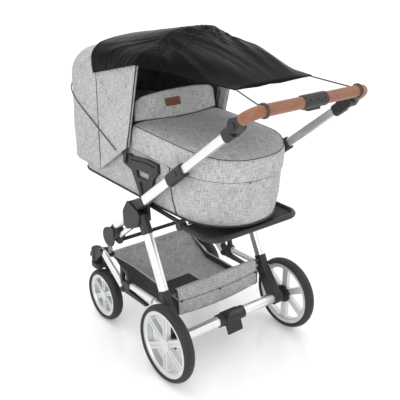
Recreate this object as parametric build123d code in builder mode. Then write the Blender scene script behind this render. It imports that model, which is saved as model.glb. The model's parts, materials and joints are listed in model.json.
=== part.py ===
from build123d import *
import os
from math import cos, pi, radians, sin, sqrt, tan

# Baby stroller with a carrycot, a hood and a tied-on sunshade.  Millimetres, +Z up, +Y towards the
# push handle, X across.  The origin lies on the floor under the middle of the stroller's box.

# ---- driving dimensions -------------------------------------------------------------------------
REAR_WHEEL_R = 135.0        # outside of the rear tyre
FRONT_WHEEL_R = 100.0       # outside of the front tyre
REAR_TRACK = 546.0          # between the middles of the rear wheels
FRONT_TRACK = 472.0         # between the middles of the front wheels
REAR_AXLE_Y = 209.0
FRONT_AXLE_Y = -243.0
TYRE_WIDTH = 43.0
CASTER_TRAIL = 51.0
RUNNING_GAP = 0.05          # radial gap of a shaft in its hole
SOFT_GAP = 1.0              # gap between soft pieces and their neighbours

LEG_X = 219.0               # middle plane of the rear legs and the pusher
LOWER_X = FRONT_TRACK / 2   # middle plane of the lower frame
LEG_DEPTH, LEG_WIDTH = 38.0, 26.0
LEG_GROOVE = 5.0            # width of the slide groove down the rear of each leg
PUSHER_DEPTH, PUSHER_WIDTH = 36.0, 26.0
EXTENSION_DEPTH, EXTENSION_WIDTH = 30.0, 20.0
TUBE_WALL = 1.8
AXLE_TUBE_R = 19.0
LOWER_TUBE_R = 11.5
FRONT_TUBE_R = 12.0
MAIN_TUBE_R = 16.5
TIE_ROD_R = 10.0
LINK_TUBE_R = 9.0
GRIP_R = 17.0

FOOT_PIVOT = (141.0, 225.0)         # (Y, Z) of the side linkage's pivots
PLATE_PIVOT = (-8.0, 497.0)
ROUND_PIVOT = (-194.0, 361.0)
LINK_PIVOT = (-246.0, 281.0)
FOLD_PIVOT = (-54.0, 536.0)
PIN_R = 5.0

PUSHER_FOOT = (-14.0, 542.0)        # lower end of the pusher tube's axis
PUSHER_ANGLE = 38.4
PUSHER_LENGTH = 242.0
EXTENSION_SHOWN = 278.0             # extension tube between its collar and the adjuster
EXTENSION_INSIDE = 76.0
HANDLE_Y, HANDLE_Z = 526.0, 974.0
HANDLE_ARM_X, HANDLE_BEND = 225.0, 37.0
HANDLE_ANGLE = 36.4
TILT_PIVOT = (468.0, 930.0)

COT_HALF_WIDTH = 183.0
COT_HEAD_Y, COT_FOOT_Y = -518.0, 352.0
COT_BOTTOM_Z = 536.0
COT_RIM_HEAD_Z, COT_RIM_FOOT_Z = 790.0, 755.0
COT_WALL = 12.0
COT_FLOOR = 18.0
APRON_HEAD_Y = -70.0
APRON_CROWN = 32.0
HOOD_PIVOT = (-126.0, 665.0)
HOOD_HALF_WIDTH = 207.5
HOOD_CLOTH = 4.0
HOOD_HEM_Z = 590.0
HOOD_SEAM_Y, HOOD_SEAM_TOP = -279.0, 1040.0
HOOD_BACK_Y = -541.0
HOOD_FRONT_FOOT, HOOD_FRONT_TOP = (-98.0, 718.0), (-6.0, 1092.0)
SHADE_CLOTH = 3.0
SHADE_REAR_Y, SHADE_REAR_Z, SHADE_REAR_HALF = 377.0, 996.0, 151.0
CORD_R = 1.8

REAR_X = REAR_TRACK / 2
FRONT_X = FRONT_TRACK / 2
SWIVEL_Y = FRONT_AXLE_Y - CASTER_TRAIL
PUSH_DIR = (cos(radians(PUSHER_ANGLE)), sin(radians(PUSHER_ANGLE)))

os.makedirs("parts", exist_ok=True)


# ---- shared helpers -----------------------------------------------------------------------------
def save(builder, label):
    """Label a finished piece and write it as its own STEP file."""
    builder.part.label = label
    export_step(builder.part, f"parts/{label}.step")


def along(point, distance, sideways=0.0):
    """(Y, Z) of a place along the pusher's direction, and sideways above it."""
    return (
        point[0] + PUSH_DIR[0] * distance - PUSH_DIR[1] * sideways,
        point[1] + PUSH_DIR[1] * distance + PUSH_DIR[0] * sideways,
    )


def rod(start, end, radius, bore=0.0, mode=Mode.ADD):
    """Round bar or tube between two points, added to the open part."""
    run = Vector(end) - Vector(start)
    with BuildSketch(Plane(origin=start, z_dir=run)) as ring:
        Circle(radius)
        if bore:
            Circle(bore, mode=Mode.SUBTRACT)
    extrude(ring.sketch, amount=run.length, mode=mode)


def flat_tube(start, end, depth, width, wall=0.0, groove=0.0, mode=Mode.ADD):
    """Rounded rectangular tube that lies in a YZ plane, its depth in that plane, with a slide groove."""
    run = Vector(end) - Vector(start)
    corner = width * 0.42
    with BuildSketch(Plane(origin=start, x_dir=(1, 0, 0), z_dir=run)) as ring:
        RectangleRounded(width, depth, corner)
        if wall:
            RectangleRounded(width - 2 * wall, depth - 2 * wall, corner - wall, mode=Mode.SUBTRACT)
        if groove:
            with Locations((0, -depth / 2)):
                Rectangle(groove, wall, mode=Mode.SUBTRACT)
    extrude(ring.sketch, amount=run.length, mode=mode)


def side_plate(outline, x_from, x_to, corner=0.0, mode=Mode.ADD):
    """Plate between two X values with a (Y, Z) outline and rounded corners."""
    with BuildSketch(Plane.YZ.offset(x_from)) as plate:
        with BuildLine():
            Polyline(*outline, close=True)
        make_face()
        if corner:
            fillet(plate.vertices(), corner)
    extrude(plate.sketch, amount=x_to - x_from, mode=mode)


def side_disc(centre, radius, x_from, x_to, mode=Mode.ADD):
    """Round disc, boss, pin or bore along X about a (Y, Z) centre."""
    with BuildSketch(Plane.YZ.offset(x_from)) as disc:
        with Locations(centre):
            Circle(radius)
    extrude(disc.sketch, amount=x_to - x_from, mode=mode)


def side_hull(circles, x_from, x_to, mode=Mode.ADD):
    """Plate between two X values that wraps round a set of (Y, Z, radius) circles."""
    with BuildSketch(Plane.YZ.offset(x_from)) as plate:
        for y, z, radius in circles:
            with Locations((y, z)):
                Circle(radius)
        make_hull()
    extrude(plate.sketch, amount=x_to - x_from, mode=mode)


# ---- wheels -------------------------------------------------------------------------------------
REAR_SPINDLE_R, FRONT_SPINDLE_R = 6.0, 5.0
HUB_DEPTH = 7.5             # how far a spindle reaches past the middle of its wheel


def wheel_pieces(name, side, x_mid, axle_y, radius, rim_r, hub_r, spindle_r, spoke_width):
    """Rim with six open spokes and its rubber tyre, turning about X."""
    middle = Plane(origin=(side * x_mid, axle_y, radius), x_dir=(0, 1, 0), z_dir=(side, 0, 0))
    half_rim, half_tyre, spoke_half = 15.0, TYRE_WIDTH / 2, 8.0
    section = Plane(origin=middle.origin, x_dir=(side, 0, 0), z_dir=(0, -side, 0))
    axle = Axis(middle.origin, (1, 0, 0))
    bead = rim_r - 12
    with BuildPart() as rim:
        with BuildSketch(section):
            with BuildLine():
                Polyline(
                    (-half_rim, bead), (-half_rim, rim_r), (-half_rim + 3, rim_r), (-half_rim + 6, rim_r - 4),
                    (half_rim - 6, rim_r - 4), (half_rim - 3, rim_r), (half_rim, rim_r), (half_rim, bead),
                    (half_rim - 5, bead - 4), (-half_rim + 5, bead - 4), close=True,
                )
            make_face()
        revolve(axis=axle)
        with BuildSketch(middle.offset(-spoke_half - 2)):
            Circle(hub_r)
        extrude(amount=2 * spoke_half + 6)
        with BuildSketch(middle.offset(-spoke_half)):
            with PolarLocations(0, 6, start_angle=90):
                Polygon(
                    (0, -spoke_width * 0.42), (bead - 12, -spoke_width / 2), (bead, -spoke_width * 0.8),
                    (bead, spoke_width * 0.8), (bead - 12, spoke_width / 2), (0, spoke_width * 0.42),
                    align=None,
                )
        extrude(amount=2 * spoke_half)
        with BuildSketch(middle.offset(spoke_half - 3)):
            with PolarLocations((hub_r + bead) / 2, 6, start_angle=90):
                SlotOverall(bead - hub_r - 16, spoke_width * 0.36)
        extrude(amount=3, mode=Mode.SUBTRACT)
        with BuildSketch(middle.offset(-spoke_half - 2)):
            Circle(spindle_r + RUNNING_GAP)
        extrude(amount=2 * spoke_half + 2, mode=Mode.SUBTRACT)
    save(rim, f"{name}_rim_{'left' if side > 0 else 'right'}")
    with BuildPart() as tyre:
        with BuildSketch(section):
            with BuildLine():
                Polyline(
                    (-half_tyre + 3, rim_r + 2), (-half_rim, rim_r), (-half_rim + 3, rim_r),
                    (-half_rim + 6, rim_r - 4), (half_rim - 6, rim_r - 4), (half_rim - 3, rim_r),
                    (half_rim, rim_r), (half_tyre - 3, rim_r + 2),
                )
                Line((half_tyre - 3, rim_r + 2), (half_tyre, rim_r + 8))
                ThreePointArc((half_tyre, rim_r + 8), (0, radius), (-half_tyre, rim_r + 8))
                Line((-half_tyre, rim_r + 8), (-half_tyre + 3, rim_r + 2))
            make_face()
        revolve(axis=axle)
    save(tyre, f"{name}_tyre_{'left' if side > 0 else 'right'}")


for side in (1, -1):
    wheel_pieces("rear", side, REAR_X, REAR_AXLE_Y, REAR_WHEEL_R, 116.5, 25.0, REAR_SPINDLE_R, 25.0)
    wheel_pieces("front", side, FRONT_X, FRONT_AXLE_Y, FRONT_WHEEL_R, 81.5, 18.0, FRONT_SPINDLE_R, 19.0)

# Black brake drums on the inner side of the rear hubs, with a ring of teeth for the brake pins.
DRUM_R, DRUM_DEPTH, DRUM_TEETH = 33.0, 7.0, 12
for side, word in ((1, "left"), (-1, "right")):
    inner = Plane(
        origin=(side * (REAR_X - 10), REAR_AXLE_Y, REAR_WHEEL_R), x_dir=(0, 1, 0), z_dir=(-side, 0, 0)
    )
    with BuildPart() as drum:
        with BuildSketch(inner):
            Circle(DRUM_R)
            with PolarLocations(DRUM_R, DRUM_TEETH):
                Circle(3.2, mode=Mode.SUBTRACT)
            Circle(REAR_SPINDLE_R + RUNNING_GAP, mode=Mode.SUBTRACT)
        extrude(amount=DRUM_DEPTH)
    save(drum, f"brake_drum_{word}")

# ---- casters ------------------------------------------------------------------------------------
SWIVEL_PIN_R = 7.0
HOUSING_R = 20.0
HOUSING_LOW, HOUSING_HIGH = 226.0, 279.0
CROWN_LOW, CROWN_HIGH = 206.0, 224.0
ARM_GAP, ARM_THICK = 3.0, 10.0
for side, word in ((1, "left"), (-1, "right")):
    swivel = (side * FRONT_X, SWIVEL_Y)
    with BuildPart() as fork:
        # Crown over the tyre, one arm on the inner side down to the spindle, and the upright pin.
        arm_in = TYRE_WIDTH / 2 + ARM_GAP
        arm_x = sorted((side * (FRONT_X - arm_in - ARM_THICK), side * (FRONT_X - arm_in)))
        side_hull([(FRONT_AXLE_Y, FRONT_WHEEL_R, 13), (SWIVEL_Y + 20, CROWN_HIGH - 13, 13)], *arm_x)
        with BuildSketch(Plane.XY.offset(CROWN_LOW)):
            with Locations((side * (FRONT_X - 6), SWIVEL_Y + 12)):
                RectangleRounded(2 * arm_in + 8, 54, 16)
        extrude(amount=CROWN_HIGH - CROWN_LOW)
        with BuildSketch(Plane.XY.offset(CROWN_HIGH)):
            with Locations(swivel):
                Circle(HOUSING_R - 4)
        extrude(amount=HOUSING_LOW - CROWN_HIGH - 0.4)
        with BuildSketch(Plane.XY.offset(CROWN_HIGH)):
            with Locations(swivel):
                Circle(SWIVEL_PIN_R)
        extrude(amount=HOUSING_HIGH - CROWN_HIGH - 8)
        spindle_x = sorted((side * (FRONT_X - arm_in - 1), side * (FRONT_X + HUB_DEPTH)))
        side_disc((FRONT_AXLE_Y, FRONT_WHEEL_R), FRONT_SPINDLE_R, *spindle_x)
    save(fork, f"caster_fork_{word}")

# ---- lower frame --------------------------------------------------------------------------------
FRONT_TUBE_TOP = (-250.0, 285.0)
FRONT_TUBE_FOOT = (-112.0, 192.0)
LOWER_TUBE_FRONT = (-64.0, 218.0)
LOWER_TUBE_END = (84.0, 223.5)
EYE_IN, EYE_OUT = LEG_X + LEG_WIDTH / 2 + 3.0, LEG_X + LEG_WIDTH / 2 + 12.0
BRACKET_HALF = 7.0
LINK_X = LEG_X - 7.0
LOCK_PIVOT = (SWIVEL_Y - HOUSING_R - 6.5, 250.0)
RAIL_R = 8.0
RAIL_PLACE = (-272.0, 242.0)

with BuildPart() as swivel_housings:
    with BuildSketch(Plane.XY.offset(HOUSING_LOW)):
        with Locations((FRONT_X, SWIVEL_Y)):
            Circle(HOUSING_R)
    extrude(amount=HOUSING_HIGH - HOUSING_LOW)
    fillet(swivel_housings.faces().sort_by(Axis.Z)[-1].edges(), 4)
    # Arm from the round housing back to the socket of the front tube.
    side_hull(
        [(SWIVEL_Y + 6, HOUSING_HIGH - 18, 14), (SWIVEL_Y + 6, HOUSING_LOW + 14, 12),
         (LINK_PIVOT[0], LINK_PIVOT[1], 13)], FRONT_X - 14, FRONT_X + 15,
    )
    with BuildSketch(Plane.XY.offset(HOUSING_LOW)):
        with Locations((FRONT_X, SWIVEL_Y)):
            Circle(SWIVEL_PIN_R + RUNNING_GAP)
    extrude(amount=HOUSING_HIGH - HOUSING_LOW - 6, mode=Mode.SUBTRACT)
    rod((FRONT_X, *FRONT_TUBE_TOP), (FRONT_X, *FRONT_TUBE_FOOT), FRONT_TUBE_R, mode=Mode.SUBTRACT)
    # Pin and head that carry the front link.
    side_disc(LINK_PIVOT, PIN_R, LINK_X - LINK_TUBE_R - 2, FRONT_X - 13)
    side_disc(LINK_PIVOT, PIN_R + 3, LINK_X - LINK_TUBE_R - 4, LINK_X - LINK_TUBE_R - 1)
    # Ears and pin of the swivel lock in front of the housing.
    for x_from in (FRONT_X - 10.5, FRONT_X + 7.3):
        side_hull([(*LOCK_PIVOT, 5), (SWIVEL_Y - 10, LOCK_PIVOT[1], 9)], x_from, x_from + 3.2)
    side_disc(LOCK_PIVOT, 2.5, FRONT_X - 10, FRONT_X + 10)
    mirror(about=Plane.YZ)
save(swivel_housings, "swivel_housings")

with BuildPart() as frame_brackets:
    side_plate(
        [(-118, 277), (-72, 270), (-63, 240), (-63, 196), (44, 190), (44, 183), (-64, 180), (-118, 178)],
        LOWER_X - BRACKET_HALF, LOWER_X + BRACKET_HALF, 3,
    )
    side_plate(
        [(-106, 264), (-84, 260), (-78, 236), (-78, 222), (-106, 222)],
        LOWER_X - BRACKET_HALF - 1, LOWER_X + BRACKET_HALF + 1, 4, mode=Mode.SUBTRACT,
    )
    # Sockets of the two tubes that meet in the bracket.
    rod((LOWER_X, -100, 183.9), (LOWER_X, -112, 192), FRONT_TUBE_R + 2)
    side_hull([(-76, 217.5, 14), (-66, 217.9, 14)], LOWER_X - 13, LOWER_X + 13)
    rod((FRONT_X, *FRONT_TUBE_TOP), (FRONT_X, *FRONT_TUBE_FOOT), FRONT_TUBE_R, mode=Mode.SUBTRACT)
    rod((LOWER_X, *LOWER_TUBE_FRONT), (LOWER_X, *LOWER_TUBE_END), LOWER_TUBE_R, mode=Mode.SUBTRACT)
    mirror(about=Plane.YZ)
save(frame_brackets, "frame_brackets")

with BuildPart() as lower_frame_tubes:
    rod((FRONT_X, *FRONT_TUBE_TOP), (FRONT_X, *FRONT_TUBE_FOOT), FRONT_TUBE_R)
    rod((LOWER_X, *LOWER_TUBE_FRONT), (LOWER_X, *LOWER_TUBE_END), LOWER_TUBE_R)
    # Flat eye that reaches past the leg to the foot pivot.
    side_hull([(LOWER_TUBE_END[0] - 6, LOWER_TUBE_END[1], 9), (*FOOT_PIVOT, 10)], EYE_IN, EYE_OUT)
    side_disc(FOOT_PIVOT, PIN_R + RUNNING_GAP, EYE_IN - 1, EYE_OUT + 1, mode=Mode.SUBTRACT)
    mirror(about=Plane.YZ)
save(lower_frame_tubes, "lower_frame_tubes")

with BuildPart() as front_rail:
    rail_half = FRONT_X - 14
    rod((-rail_half, *RAIL_PLACE), (rail_half, *RAIL_PLACE), RAIL_R, RAIL_R - TUBE_WALL)
save(front_rail, "front_rail")

# ---- storage basket -----------------------------------------------------------------------------
BASKET_HALF = 180.0
BASKET_WALL = 3.0
with BuildPart() as basket:
    outline = [(-265, 237.7), (-148, 164), (132, 164), (150, 180), (147, 236), (84, 243), (-110, 250)]
    side_plate(outline, -BASKET_HALF, BASKET_HALF)
    offset(
        amount=-BASKET_WALL, openings=basket.faces().filter_by(lambda f: f.normal_at().Z > 0.5),
        kind=Kind.INTERSECTION,
    )
save(basket, "basket")

# ---- front links: short tubes from the casters up to the round plates ---------------------------
with BuildPart() as link_tubes:
    rod((LINK_X, *LINK_PIVOT), (LINK_X, *ROUND_PIVOT), LINK_TUBE_R)
    for pivot in (LINK_PIVOT, ROUND_PIVOT):
        side_disc(pivot, 13, LINK_X - LINK_TUBE_R + 1, LINK_X + LINK_TUBE_R - 1)
        side_disc(pivot, PIN_R + RUNNING_GAP, LINK_X - 20, LINK_X + 20, mode=Mode.SUBTRACT)
    mirror(about=Plane.YZ)
save(link_tubes, "link_tubes")

# ---- upper links: joint plates, main tubes, tie rods and round plates ---------------------------
PLATE_IN, PLATE_OUT = LEG_X - LEG_WIDTH / 2 - 9.0, LEG_X + LEG_WIDTH / 2 + 9.0
PLATE_THICK = 5.0
MAIN_TOP, MAIN_LOW = (-62.0, 502.5), (-176.0, 399.9)
TIE_TOP, TIE_LOW = (-64.0, 444.8), (-146.0, 380.0)
PLATE_OUTLINE = [(*FOLD_PIVOT, 11), (-8, 508, 22), (-14, 486, 22), (-66, 462, 20), (-70, 498, 18)]


def plate_pair(circles):
    """Outer and inner plate of a joint, with a (Y, Z, radius) outline each."""
    side_hull(circles, PLATE_IN, PLATE_IN + PLATE_THICK)
    side_hull(circles, PLATE_OUT - PLATE_THICK, PLATE_OUT)


with BuildPart() as joint_plates:
    plate_pair(PLATE_OUTLINE)
    # Block between the plates that holds the ends of the main tube and the tie rod.
    side_plate(
        [(-46, 448), (-46, 498), (-66, 519), (-84, 507), (-84, 470), (-70, 442)],
        PLATE_IN + PLATE_THICK, PLATE_OUT - PLATE_THICK,
    )
    rod((LEG_X, *MAIN_TOP), (LEG_X, *MAIN_LOW), MAIN_TUBE_R, mode=Mode.SUBTRACT)
    rod((LEG_X, *TIE_TOP), (LEG_X, *TIE_LOW), TIE_ROD_R, mode=Mode.SUBTRACT)
    side_disc(FOLD_PIVOT, PIN_R, PLATE_IN, PLATE_OUT)
    fillet(joint_plates.faces().sort_by(Axis.X)[-1].edges(), 1.5)
    mirror(about=Plane.YZ)
save(joint_plates, "joint_plates")

with BuildPart() as upper_link_tubes:
    rod((LEG_X, *MAIN_TOP), (LEG_X, *MAIN_LOW), MAIN_TUBE_R, MAIN_TUBE_R - TUBE_WALL)
    rod((LEG_X, *TIE_TOP), (LEG_X, *TIE_LOW), TIE_ROD_R, TIE_ROD_R - TUBE_WALL)
    mirror(about=Plane.YZ)
save(upper_link_tubes, "upper_link_tubes")

with BuildPart() as round_plates:
    y, z = ROUND_PIVOT
    plate_pair([(y, z, 37), (y + 22, z + 30, 16)])
    side_plate(
        [(y + 12, z + 19), (y + 54, z + 11), (y + 60, z + 26), (y + 26, z + 58), (y + 2, z + 36)],
        PLATE_IN + PLATE_THICK, PLATE_OUT - PLATE_THICK,
    )
    rod((LEG_X, *MAIN_TOP), (LEG_X, *MAIN_LOW), MAIN_TUBE_R, mode=Mode.SUBTRACT)
    rod((LEG_X, *TIE_TOP), (LEG_X, *TIE_LOW), TIE_ROD_R, mode=Mode.SUBTRACT)
    side_disc((y, z), PIN_R, PLATE_IN, PLATE_OUT)
    for spot in ((y - 14, z + 20), (y - 10, z - 26), (y + 22, z - 14)):
        side_disc(spot, 2.5, PLATE_OUT - 2, PLATE_OUT, mode=Mode.SUBTRACT)
    mirror(about=Plane.YZ)
save(round_plates, "round_plates")

CROSS_BAR = (ROUND_PIVOT[0] - 2, ROUND_PIVOT[1] - 28)
with BuildPart() as cross_bar:
    rod((-PLATE_IN, *CROSS_BAR), (PLATE_IN, *CROSS_BAR), 7, 7 - TUBE_WALL)
save(cross_bar, "cross_bar")

# ---- rear legs and axle -------------------------------------------------------------------------
LEG_TOP, LEG_LOW = (24.5, 464.0), (125.0, 262.0)
AXLE = (REAR_AXLE_Y, REAR_WHEEL_R)
FOOT_X = (LEG_X - LEG_WIDTH / 2 - 2.5, LEG_X + LEG_WIDTH / 2 + 2.5)

with BuildPart() as rear_leg_tubes:
    flat_tube((LEG_X, 20, 473.2), (LEG_X, 128, 256), LEG_DEPTH, LEG_WIDTH, TUBE_WALL, LEG_GROOVE)
    mirror(about=Plane.YZ)
save(rear_leg_tubes, "rear_leg_tubes")

with BuildPart() as leg_sleeves:
    side_hull([(*PLATE_PIVOT, 18), (2, 486, 17)], *FOOT_X)
    flat_tube((LEG_X, -1, 508), (LEG_X, 31, 451), LEG_DEPTH + 5, LEG_WIDTH + 5)
    side_plate([(-30, 524), (40, 524), (60, 470), (60, 540)], 190, 250, mode=Mode.SUBTRACT)
    flat_tube((LEG_X, 20, 473.2), (LEG_X, 128, 256), LEG_DEPTH, LEG_WIDTH, mode=Mode.SUBTRACT)
    mirror(about=Plane.YZ)
save(leg_sleeves, "leg_sleeves")

with BuildPart() as rear_feet:
    flat_tube((LEG_X, 119, 274), (LEG_X, 141, 230), LEG_DEPTH + 5, LEG_WIDTH + 5)
    side_hull([(*FOOT_PIVOT, 19), (176, 176, 21)], *FOOT_X)
    side_hull([(176, 176, 21), (*AXLE, AXLE_TUBE_R + 6)], *FOOT_X)
    flat_tube((LEG_X, 20, 473.2), (LEG_X, 128, 256), LEG_DEPTH, LEG_WIDTH, mode=Mode.SUBTRACT)
    side_disc(AXLE, AXLE_TUBE_R, LEG_X - 30, LEG_X + 30, mode=Mode.SUBTRACT)
    side_disc(FOOT_PIVOT, PIN_R, LEG_X, EYE_OUT + 2)
    side_hull([(166, 192, 6), (184, 168, 7)], FOOT_X[1] - 3, FOOT_X[1] + 1, mode=Mode.SUBTRACT)
    mirror(about=Plane.YZ)
save(rear_feet, "rear_feet")

AXLE_HALF = REAR_X - 37
with BuildPart() as axle_tube:
    rod((-AXLE_HALF, *AXLE), (AXLE_HALF, *AXLE), AXLE_TUBE_R, AXLE_TUBE_R - 2)
save(axle_tube, "axle_tube")

PEDAL_HALF = 32.0
with BuildPart() as axle_fittings:
    # Collars that keep the brake pedal in the middle of the axle.
    side_disc(AXLE, AXLE_TUBE_R + 4, PEDAL_HALF + 0.3, PEDAL_HALF + 24)
    side_disc(AXLE, AXLE_TUBE_R, PEDAL_HALF, PEDAL_HALF + 25, mode=Mode.SUBTRACT)
    # Plugs in the ends of the axle tube, with the wheel spindles.
    side_disc(AXLE, AXLE_TUBE_R - 2, AXLE_HALF - 30, AXLE_HALF)
    side_disc(AXLE, AXLE_TUBE_R + 1, AXLE_HALF, AXLE_HALF + 8)
    side_disc(AXLE, REAR_SPINDLE_R + 4, AXLE_HALF + 8, REAR_X - 17 - 0.3)
    side_disc(AXLE, REAR_SPINDLE_R, AXLE_HALF - 30, REAR_X + HUB_DEPTH)
    mirror(about=Plane.YZ)
save(axle_fittings, "axle_fittings")

with BuildPart() as basket_rail:
    rail_y, rail_z = 131.0, 262.0
    rod((-FOOT_X[0], rail_y, rail_z), (FOOT_X[0], rail_y, rail_z), 6, 6 - TUBE_WALL)
save(basket_rail, "basket_rail")

with BuildPart() as brake_pedal:
    axle_y, axle_z = AXLE
    side_disc(AXLE, AXLE_TUBE_R + 7, -PEDAL_HALF, PEDAL_HALF)
    side_hull([(axle_y + 19, axle_z + 16, 5), (axle_y + 31, axle_z + 44, 4)], -PEDAL_HALF, PEDAL_HALF)
    side_hull([(axle_y + 19, axle_z - 16, 5), (axle_y + 31, axle_z - 44, 4)], -PEDAL_HALF, PEDAL_HALF)
    side_disc(AXLE, AXLE_TUBE_R + RUNNING_GAP, -PEDAL_HALF - 1, PEDAL_HALF + 1, mode=Mode.SUBTRACT)
save(brake_pedal, "brake_pedal")

# ---- pusher -------------------------------------------------------------------------------------
COLLAR_FROM, COLLAR_TO = PUSHER_LENGTH - 16.0, PUSHER_LENGTH + 74.0
EXTENSION_END = COLLAR_TO + EXTENSION_SHOWN
KNUCKLE_X = (PLATE_IN + PLATE_THICK + 1, PLATE_OUT - PLATE_THICK - 1)


def pusher_tube(start, end, depth, width, wall=0.0, mode=Mode.ADD):
    """Flat tube on the pusher's axis between two distances from its foot."""
    foot, top = (LEG_X, *along(PUSHER_FOOT, start)), (LEG_X, *along(PUSHER_FOOT, end))
    flat_tube(foot, top, depth, width, wall, mode=mode)


with BuildPart() as pusher_tubes:
    pusher_tube(14, PUSHER_LENGTH, PUSHER_DEPTH, PUSHER_WIDTH, TUBE_WALL)
    mirror(about=Plane.YZ)
save(pusher_tubes, "pusher_tubes")

with BuildPart() as pusher_knuckles:
    # Dark end piece that turns between the joint plates and plugs into the tube.
    side_hull([(*FOLD_PIVOT, 10), (*along(PUSHER_FOOT, 0), 17)], *KNUCKLE_X)
    pusher_tube(0, 44, PUSHER_DEPTH + 1, PUSHER_WIDTH + 5)
    pusher_tube(14, 60, PUSHER_DEPTH, PUSHER_WIDTH, mode=Mode.SUBTRACT)
    pusher_tube(4, 40, PUSHER_DEPTH - 2 * TUBE_WALL, PUSHER_WIDTH - 2 * TUBE_WALL)
    side_disc(FOLD_PIVOT, PIN_R + RUNNING_GAP, PLATE_IN, PLATE_OUT, mode=Mode.SUBTRACT)
    mirror(about=Plane.YZ)
save(pusher_knuckles, "pusher_knuckles")

with BuildPart() as pusher_collars:
    pusher_tube(COLLAR_FROM, COLLAR_TO, PUSHER_DEPTH + 7, PUSHER_WIDTH + 7)
    fillet(pusher_collars.faces().sort_by(Axis.Y)[-1].edges(), 1.5)
    pusher_tube(COLLAR_FROM - 1, PUSHER_LENGTH, PUSHER_DEPTH, PUSHER_WIDTH, mode=Mode.SUBTRACT)
    pusher_tube(
        PUSHER_LENGTH - 1, COLLAR_TO + 1, EXTENSION_DEPTH + 0.2, EXTENSION_WIDTH + 0.2, mode=Mode.SUBTRACT
    )
    # Latch button on the outer side.
    y, z = along(PUSHER_FOOT, COLLAR_TO - 30)
    side_disc((y, z), 8, LEG_X + PUSHER_WIDTH / 2 + 2, LEG_X + PUSHER_WIDTH / 2 + 6)
    mirror(about=Plane.YZ)
save(pusher_collars, "pusher_collars")

with BuildPart() as extension_tubes:
    pusher_tube(
        PUSHER_LENGTH - EXTENSION_INSIDE, EXTENSION_END, EXTENSION_DEPTH, EXTENSION_WIDTH, TUBE_WALL
    )
    mirror(about=Plane.YZ)
save(extension_tubes, "extension_tubes")

# ---- handle -------------------------------------------------------------------------------------
TILT_R = 21.0
TILT_SPLIT = 221.0
GRIP_START = 40.0
BAR_R = 11.0
handle_dir = (0, cos(radians(HANDLE_ANGLE)), sin(radians(HANDLE_ANGLE)))
handle_plane = Plane(
    origin=(0, HANDLE_Y, HANDLE_Z), x_dir=(1, 0, 0), z_dir=(0, -handle_dir[2], handle_dir[1])
)


def handle_point(distance):
    """(Y, Z) on the handle's arm, at a distance before its cross bar."""
    return (HANDLE_Y - handle_dir[1] * distance, HANDLE_Z - handle_dir[2] * distance)


with BuildPart() as adjuster_housings:
    pusher_tube(EXTENSION_END - 38, EXTENSION_END, EXTENSION_DEPTH + 8, EXTENSION_WIDTH + 10)
    side_hull([(*TILT_PIVOT, TILT_R), (*along(PUSHER_FOOT, EXTENSION_END - 6), 18)], 205, TILT_SPLIT - 0.3)
    pusher_tube(EXTENSION_END - 40, EXTENSION_END, EXTENSION_DEPTH, EXTENSION_WIDTH, mode=Mode.SUBTRACT)
    side_disc(TILT_PIVOT, PIN_R + RUNNING_GAP, 200, 240, mode=Mode.SUBTRACT)
    mirror(about=Plane.YZ)
save(adjuster_housings, "adjuster_housings")

with BuildPart() as tilt_housings:
    side_hull([(*TILT_PIVOT, TILT_R), (*handle_point(GRIP_START + 15), 15)], TILT_SPLIT, 238)
    rod((HANDLE_ARM_X, *handle_point(50)), (HANDLE_ARM_X, *handle_point(GRIP_START)), 16)
    rod((HANDLE_ARM_X, *handle_point(50)), (HANDLE_ARM_X, *handle_point(38)), BAR_R, mode=Mode.SUBTRACT)
    side_disc(TILT_PIVOT, 10, 232, 240, mode=Mode.SUBTRACT)
    side_disc(TILT_PIVOT, PIN_R, 206, TILT_SPLIT + 2)
    mirror(about=Plane.YZ)
save(tilt_housings, "tilt_housings")

for side, word in ((1, "left"), (-1, "right")):
    with BuildPart() as button:
        button_x = sorted((side * 234.5, side * 240.5))
        side_disc(TILT_PIVOT, 9.9, *button_x)
    save(button, f"tilt_button_{word}")

with BuildPart() as handle_bar:
    with BuildLine(handle_plane) as path:
        corners = Polyline((HANDLE_ARM_X, -50), (HANDLE_ARM_X, 0), (-HANDLE_ARM_X, 0), (-HANDLE_ARM_X, -50))
        fillet(corners.vertices()[1:3], HANDLE_BEND)
    with BuildSketch(Plane(origin=(HANDLE_ARM_X, *handle_point(50)), z_dir=handle_dir)):
        Circle(BAR_R)
        Circle(BAR_R - 2, mode=Mode.SUBTRACT)
    sweep(path=path.wires()[0])
save(handle_bar, "handle_bar")

CENTRE_HALF = 46.0
with BuildPart() as leather_grips:
    with BuildLine(handle_plane) as path:
        corners = Polyline((HANDLE_ARM_X, -GRIP_START), (HANDLE_ARM_X, 0), (CENTRE_HALF, 0))
        fillet(corners.vertices()[1:2], HANDLE_BEND)
    with BuildSketch(Plane(origin=(HANDLE_ARM_X, *handle_point(GRIP_START)), z_dir=handle_dir)):
        Circle(GRIP_R)
        Circle(BAR_R, mode=Mode.SUBTRACT)
    sweep(path=path.wires()[0])
    mirror(about=Plane.YZ)
save(leather_grips, "leather_grips")

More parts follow.
